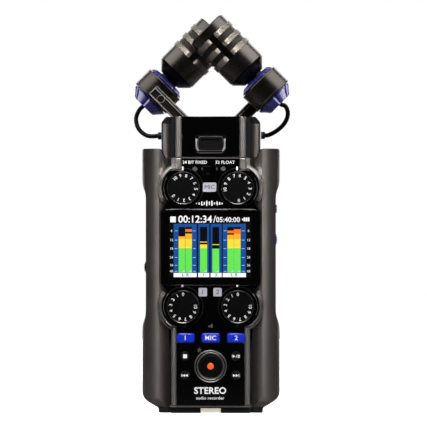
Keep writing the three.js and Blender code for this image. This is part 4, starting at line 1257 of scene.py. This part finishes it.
def build_head():
    """The plug-in head: its shell, black caps that paint the shade along its top corners, its fascia, and
    the release button in its frame, with bright catches that paint the highlights beside it.
    """
    outline = softened(mirrored([(22.6, 127.6, 0.8), (24.8, 132, 1.2), (24.8, 145.2, 1.2),
                                 (22.3, 148, 0.6)]))
    section = mirrored([(17.5, -DECK), (17.6, -11.4), (18.6, -11.3), (19.6, -12.4), (20.6, -13.8),
                        (21.8, -14.7), (22.9, -15.0), (23.9, -14.8), (24.5, -14.0), (24.8, -12.6),
                        (24.8, 13.3), (24.2, 15.0), (22.2, 17)])
    block = carved(prism(outline, -30, 30, FRONT), [prism(section, 126, 149, TOP)], "INTERSECT")
    tenon = prism(rounded(2 * TENON[0], 2 * TENON[1], 0.6), 119.5, 128.6, TOP)
    solid = carved(block, [tenon], "UNION")
    pocket = prism(rounded(12.3, 6.9, 1.1, 0, 134.5), 13.8, FAR, FRONT)
    contacts = [prism(box2(x - 0.7, x + 0.7, -1.6, 1.6), 119, 120.1, TOP) for x in range(-12, 13, 3)]
    groove = prism(rounded(30, 0.5, 0.2, 0, 144.6), 16.75, 30, BACK)
    grip = [prism(rounded(16, 0.6, 0.28, 0, 132 + 1.4 * i), 16.6, 30, BACK) for i in range(4)]
    head = carved(solid, [
        *[placed(arm_bar(0.3), place) for place in MICS.values()],
        pocket,
        together(*contacts),
        together(groove, *grip)])
    outer = eased(head, 0.3, 2, 36, where(lambda p: p.z > DOCK, SHORTEST))
    # Black caps over the top corners of the head: painted shade for the dark band along their top.
    corners = [((-30, -30, 144.5), (-17.45, -6, 150)), ((17.45, -30, 144.5), (30, -6, 150))]
    caps = carved(outer.copy(), [together(*[brick(*c) for c in corners])], "INTERSECT")
    piece("head_caps", caps, "head", "matte")
    outer = carved(outer, [together(*[brick((x, y, z - 0.05), high) for (x, y, z), high in corners])])
    piece("head_shell", outer, "head", "paint", ["head_base"])

    fascia = eased(replica("head_fascia"), 0.25, 2, 40, facing(PANEL_FRONT))
    piece("head_gloss", fascia, "head", "gloss", ["head_fascia"])
    place = front("release_button")
    dish = prism(rounded(11.8, 6.4, 1.0), 15, 19.0, place)
    lip = carved(prism(rounded(11.8, 6.4, 1.0), 18.5, 19.6, place),
                 [prism(rounded(8.8, 4.2, 0.8), 18, 20, place)])
    bm = eased(together(dish, lip), 0.18)
    piece("release_key", bm, "release", "matte", ["release_button"])
    rim = carved(prism(rounded(15.1, 9.0, 2.0), 18.95, 20.1, place),
                 [prism(rounded(12.6, 7.2, 1.2), 18, 21, place)])
    piece("release_frame", eased(rim, 0.15), "head", "matte")
    # Bright brackets beside the release key, shaped after the highlights on the chamfered sides of its
    # recess: painted highlights.
    catch_highlights = []
    for s in SIDES.values():
        catch_highlight = flipped([(7.5, 2.6), (6.4, 2.2), (6.75, 0.2), (6.5, -2.0), (5.6, -3.7), (6.4, -3.9),
                         (7.5, -2.4)], s)
        catch_highlights.append(eased(prism(catch_highlight, 18.95, 20.25, place), 0.2))
    piece("release_catches", together(*catch_highlights), "head", "bright")


# ---- microphones
GAPS = ((272, 448), (105, 255))  # where each raised band starts and stops round the barrel
BANDS = (-1.4, -7.4, -13.2)
BAND = 2.9


def barrel(place):
    front_cap = lathe([(9.85, -1.4), (10.9, -1.4), (10.9, 2.9), (10.68, 3.25), (10.4, 3.5),
                       (10.0, 3.5), (9.85, 3.3), (9.85, -1.4)], place, 96)
    rear = lathe([(0, -16.9), (10.0, -16.9), (10.0, -16.1), (10.9, -16.1), (10.9, -25.1),
                  (10.6, -25.15), (0, -25.15)], place, 96)
    return together(front_cap, rear)


def tail(place):
    return lathe([(0, -25.1), (10.3, -25.1), (10.3, -25.4), (10.75, -25.7), (6.4, -30.1), (6.1, -30.4),
                  (4.9, -30.45), (4.9, -46), (0, -46)], place, 96)


def spines(place):
    """The two dark strips between the ends of the bands."""
    return together(*[lathe([(9.8, -16.1), (10.72, -16.1), (10.72, -1.4), (9.8, -1.4), (9.8, -16.1)],
                            place, 10, start, start + 17) for start in (87.5, 255.5)])


def bands(place):
    made = []
    for top in BANDS:
        for start, end in GAPS:
            low = top - BAND
            profile = [(10.3, low), (11.15, low), (11.3, low + 0.15), (11.3, top - 0.15),
                       (11.15, top), (10.3, top), (10.3, low)]

            def slope(angle, j, r, w):
                inside = min(angle - start, end - angle) / 9
                return (r - 0.85 * (1 - min(1.0, inside)) if r > 10.4 else r), w

            made.append(lathe(profile, place, 60, start, end, slope))
    return together(*made)


def capsule(place):
    return lathe([(0, -16.6), (9.4, -16.6), (9.4, -1.0), (9.5, 1.6), (9.3, 2.1), (8.6, 2.3),
                  (4.0, 2.25), (0, 2.2)], place, 64)


def sleeve(place):
    return lathe([(10.05, -16.05), (10.5, -16.05), (10.5, -1.45), (10.05, -1.45), (10.05, -16.05)],
                 place, 96)


def ring(place):
    return lathe([(9.6, -44.0), (10.9, -44.1), (11.1, -43.85), (11.1, -43.2), (10.95, -43.05),
                  (10.95, -34.75), (11.1, -34.6), (11.1, -34.0), (10.9, -33.75), (9.6, -33.85),
                  (9.6, -44.0)], place, 128)


def elastic_mount(place):
    """A lobed collar on each side of the ring, joined by a soft core."""
    profile = [(5.2, -46.5), (1.6, -46.5), (1.6, -49.1), (1.9, -49.4), (6.2, -49.4), (6.8, -49.1),
               (8.6, -47.0), (10.1, -45.4), (10.4, -44.9), (10.3, -44.4), (9.3, -44.35),
               (9.3, -33.5), (9.9, -33.45), (10.2, -33.25), (10.2, -32.8), (9.9, -32.45),
               (9.0, -31.55), (8.4, -31.3), (7.8, -31.25), (5.2, -31.25), (5.2, -46.5)]

    def lobes(angle, j, r, w):
        if w < -44.4 and r > 6:
            r -= 0.75 * max(0.0, math.cos(math.radians(8 * angle))) ** 6
        elif w > -33.4 and r > 8:
            r -= 0.45 * max(0.0, math.cos(math.radians(12 * angle))) ** 4
        return r, w

    return lathe(profile, place, 192, shape=lobes)


ARM_FACES = ((-15.68, -14.9), (-12.1, -11.32))


def arm(side):
    """The arm that holds a microphone, with a long channel in both faces."""
    sunk = []
    for low, high in ((-16, -14.7), (-12.3, -11)):
        sunk.append(prism(box2(-25.2, 1.2, -42.5, -38.9), low, high, FRONT))
    saddle = prism(rounded(10.5, 6.2, 0.5, -2.75, -40.2), -11.5, -8.6, FRONT)
    room = lathe([(0, -48), (11.4, -48), (11.4, -31), (0, -31)], Matrix.Identity(4), 96)
    bm = carved(carved(arm_bar(), [saddle], "UNION"), [together(*sunk), room])
    bm = eased(bm, 0.28, 2, 36, where(lambda p: True, 0.2))
    return placed(bm, MICS[side])


def arm_lines(side):
    """Bright strips along an arm's two faces that paint the highlights on its edges, and the pin in each
    channel.
    """
    made = []
    for low, high in ARM_FACES:
        for v, wide in ((-42.75, 0.45), (-38.65, 0.4), (-37.45, 0.4)):
            made.append(prism(box2(-24.4, 1.5, v - wide / 2, v + wide / 2), low, high, FRONT))
        made.append(prism(box2(1.15, 1.5, -42.7, -37.3), low, high, FRONT))
        made.append(lathe([(1.7, low + 0.3), (1.95, low + 0.3), (1.95, high - 0.3), (1.7, high - 0.3),
                           (1.7, low + 0.3)], at(FRONT, -4.6, 0, -40.6), 40))
    return placed(together(*made), MICS[side])


CABLE_ENDS = (46.9, 49.6)
CABLE_BEND = {
    "right": [(37.3, -13.1, 153.3), (38.5, -12.3, 150.3), (38.0, -10.9, 147.0), (36.0, -9.0, 143.8),
              (32.7, -6.8, 141.0), (29.2, -4.4, 139.2)],
    "left": [(36.9, -13.1, 152.3), (38.3, -12.3, 149.2), (38.4, -11.1, 146.4), (37.4, -9.5, 143.2),
             (35.2, -7.9, 140.6), (32.3, -6.2, 139.0), (29.2, -4.4, 138.7)],
}
GLAND = (25.1, 27.1, -4, 138.9)


def cable(side):
    """The lead from a microphone's tail to its gland, wound with a fine rib."""
    s = math.sqrt(0.5)
    route = [(t * s, -13.5, 189.3 - t * s) for t in CABLE_ENDS] + CABLE_BEND[side]
    route += [(GLAND[1] + 0.3, GLAND[2], GLAND[3]), (GLAND[0] + 0.3, GLAND[2], GLAND[3])]
    path = smooth_path(route, 24)
    evened, left = [path[0]], 0.0
    for a, b in zip(path, path[1:]):
        left += (b - a).length
        if left >= 0.16:
            evened.append(b)
            left = 0.0
    bm = swept(evened, lambda i: 1.12 + 0.05 * math.cos(i * TAU / 5), 20)
    return placed(bm, turn(180, "Z") if side == "left" else Matrix.Identity(4))


def gland(side):
    x0, x1, y, z = GLAND
    place = at(RIGHT, 0, y, z)
    bm = lathe([(1.5, x0), (1.9, x0), (1.9, x0 + 0.5), (1.75, x0 + 0.65), (1.75, x0 + 0.95),
                (1.9, x0 + 1.1), (1.85, x1 - 0.4), (1.7, x1 - 0.05), (1.5, x1), (1.5, x0)], place, 40)
    return placed(bm, turn(180, "Z") if side == "left" else Matrix.Identity(4))


def build_microphones():
    for side, place in MICS.items():
        pieces = [
            ("mic_body_", barrel(place), "mic_metal", "metal", "mic_barrel_"),
            ("mic_spines_", spines(place), "mic_metal", "dark", None),
            ("mic_tail_", tail(place), "mic_metal", "dark", None),
            ("mic_bands_", bands(place), "mic_metal", "band", None),
            ("mic_grille_", sleeve(place), "mesh", "mesh", None),
            ("mic_insert_", capsule(place), "mesh", "mesh", "mic_capsule_"),
            ("mic_ring_", ring(place), "mic_metal", "metal", "mount_ring_"),
            ("mic_elastic_", elastic_mount(place), "elastomer", "rubber", "shock_mount_"),
            ("mic_support_", arm(side), "mic_metal", "dark", "mic_arm_"),
            ("mic_support_lines_", arm_lines(side), "mic_metal", "trim", None),
            ("mic_lead_", cable(side), "cable", "cable", "mic_cable_"),
            ("lead_gland_", gland(side), "cable", "plastic", "cable_gland_"),
        ]
        for name, bm, slot, look, node in pieces:
            piece(name + side, bm, "head", look, [node + side] if node else ())


# ---- CAD pieces that stay as they are
def dress_carried_over():
    looks = {"lcd_module": "plastic", "main_board": "board", "button_board": "board",
             "speaker": "plastic", "head_socket": "plastic"}
    for node, look in looks.items():
        slots = frame["nodes"][node].data.materials
        if len(slots):
            slots[0] = LOOK[look]
        else:
            slots.append(LOOK[look])


build_front_shell()
build_rear_shell()
build_gasket()
build_dock_lining()
build_rails()
build_guards()
build_panel()
build_display()
build_labels()
build_transport_marks()
build_knobs()
build_buttons()
build_record()
build_switches()
build_side_fittings()
build_jacks()
build_strap_bar()
build_battery_cover()
build_tripod_bush()
build_case_screws()
build_cells()
build_head()
build_microphones()
dress_carried_over()
studio()
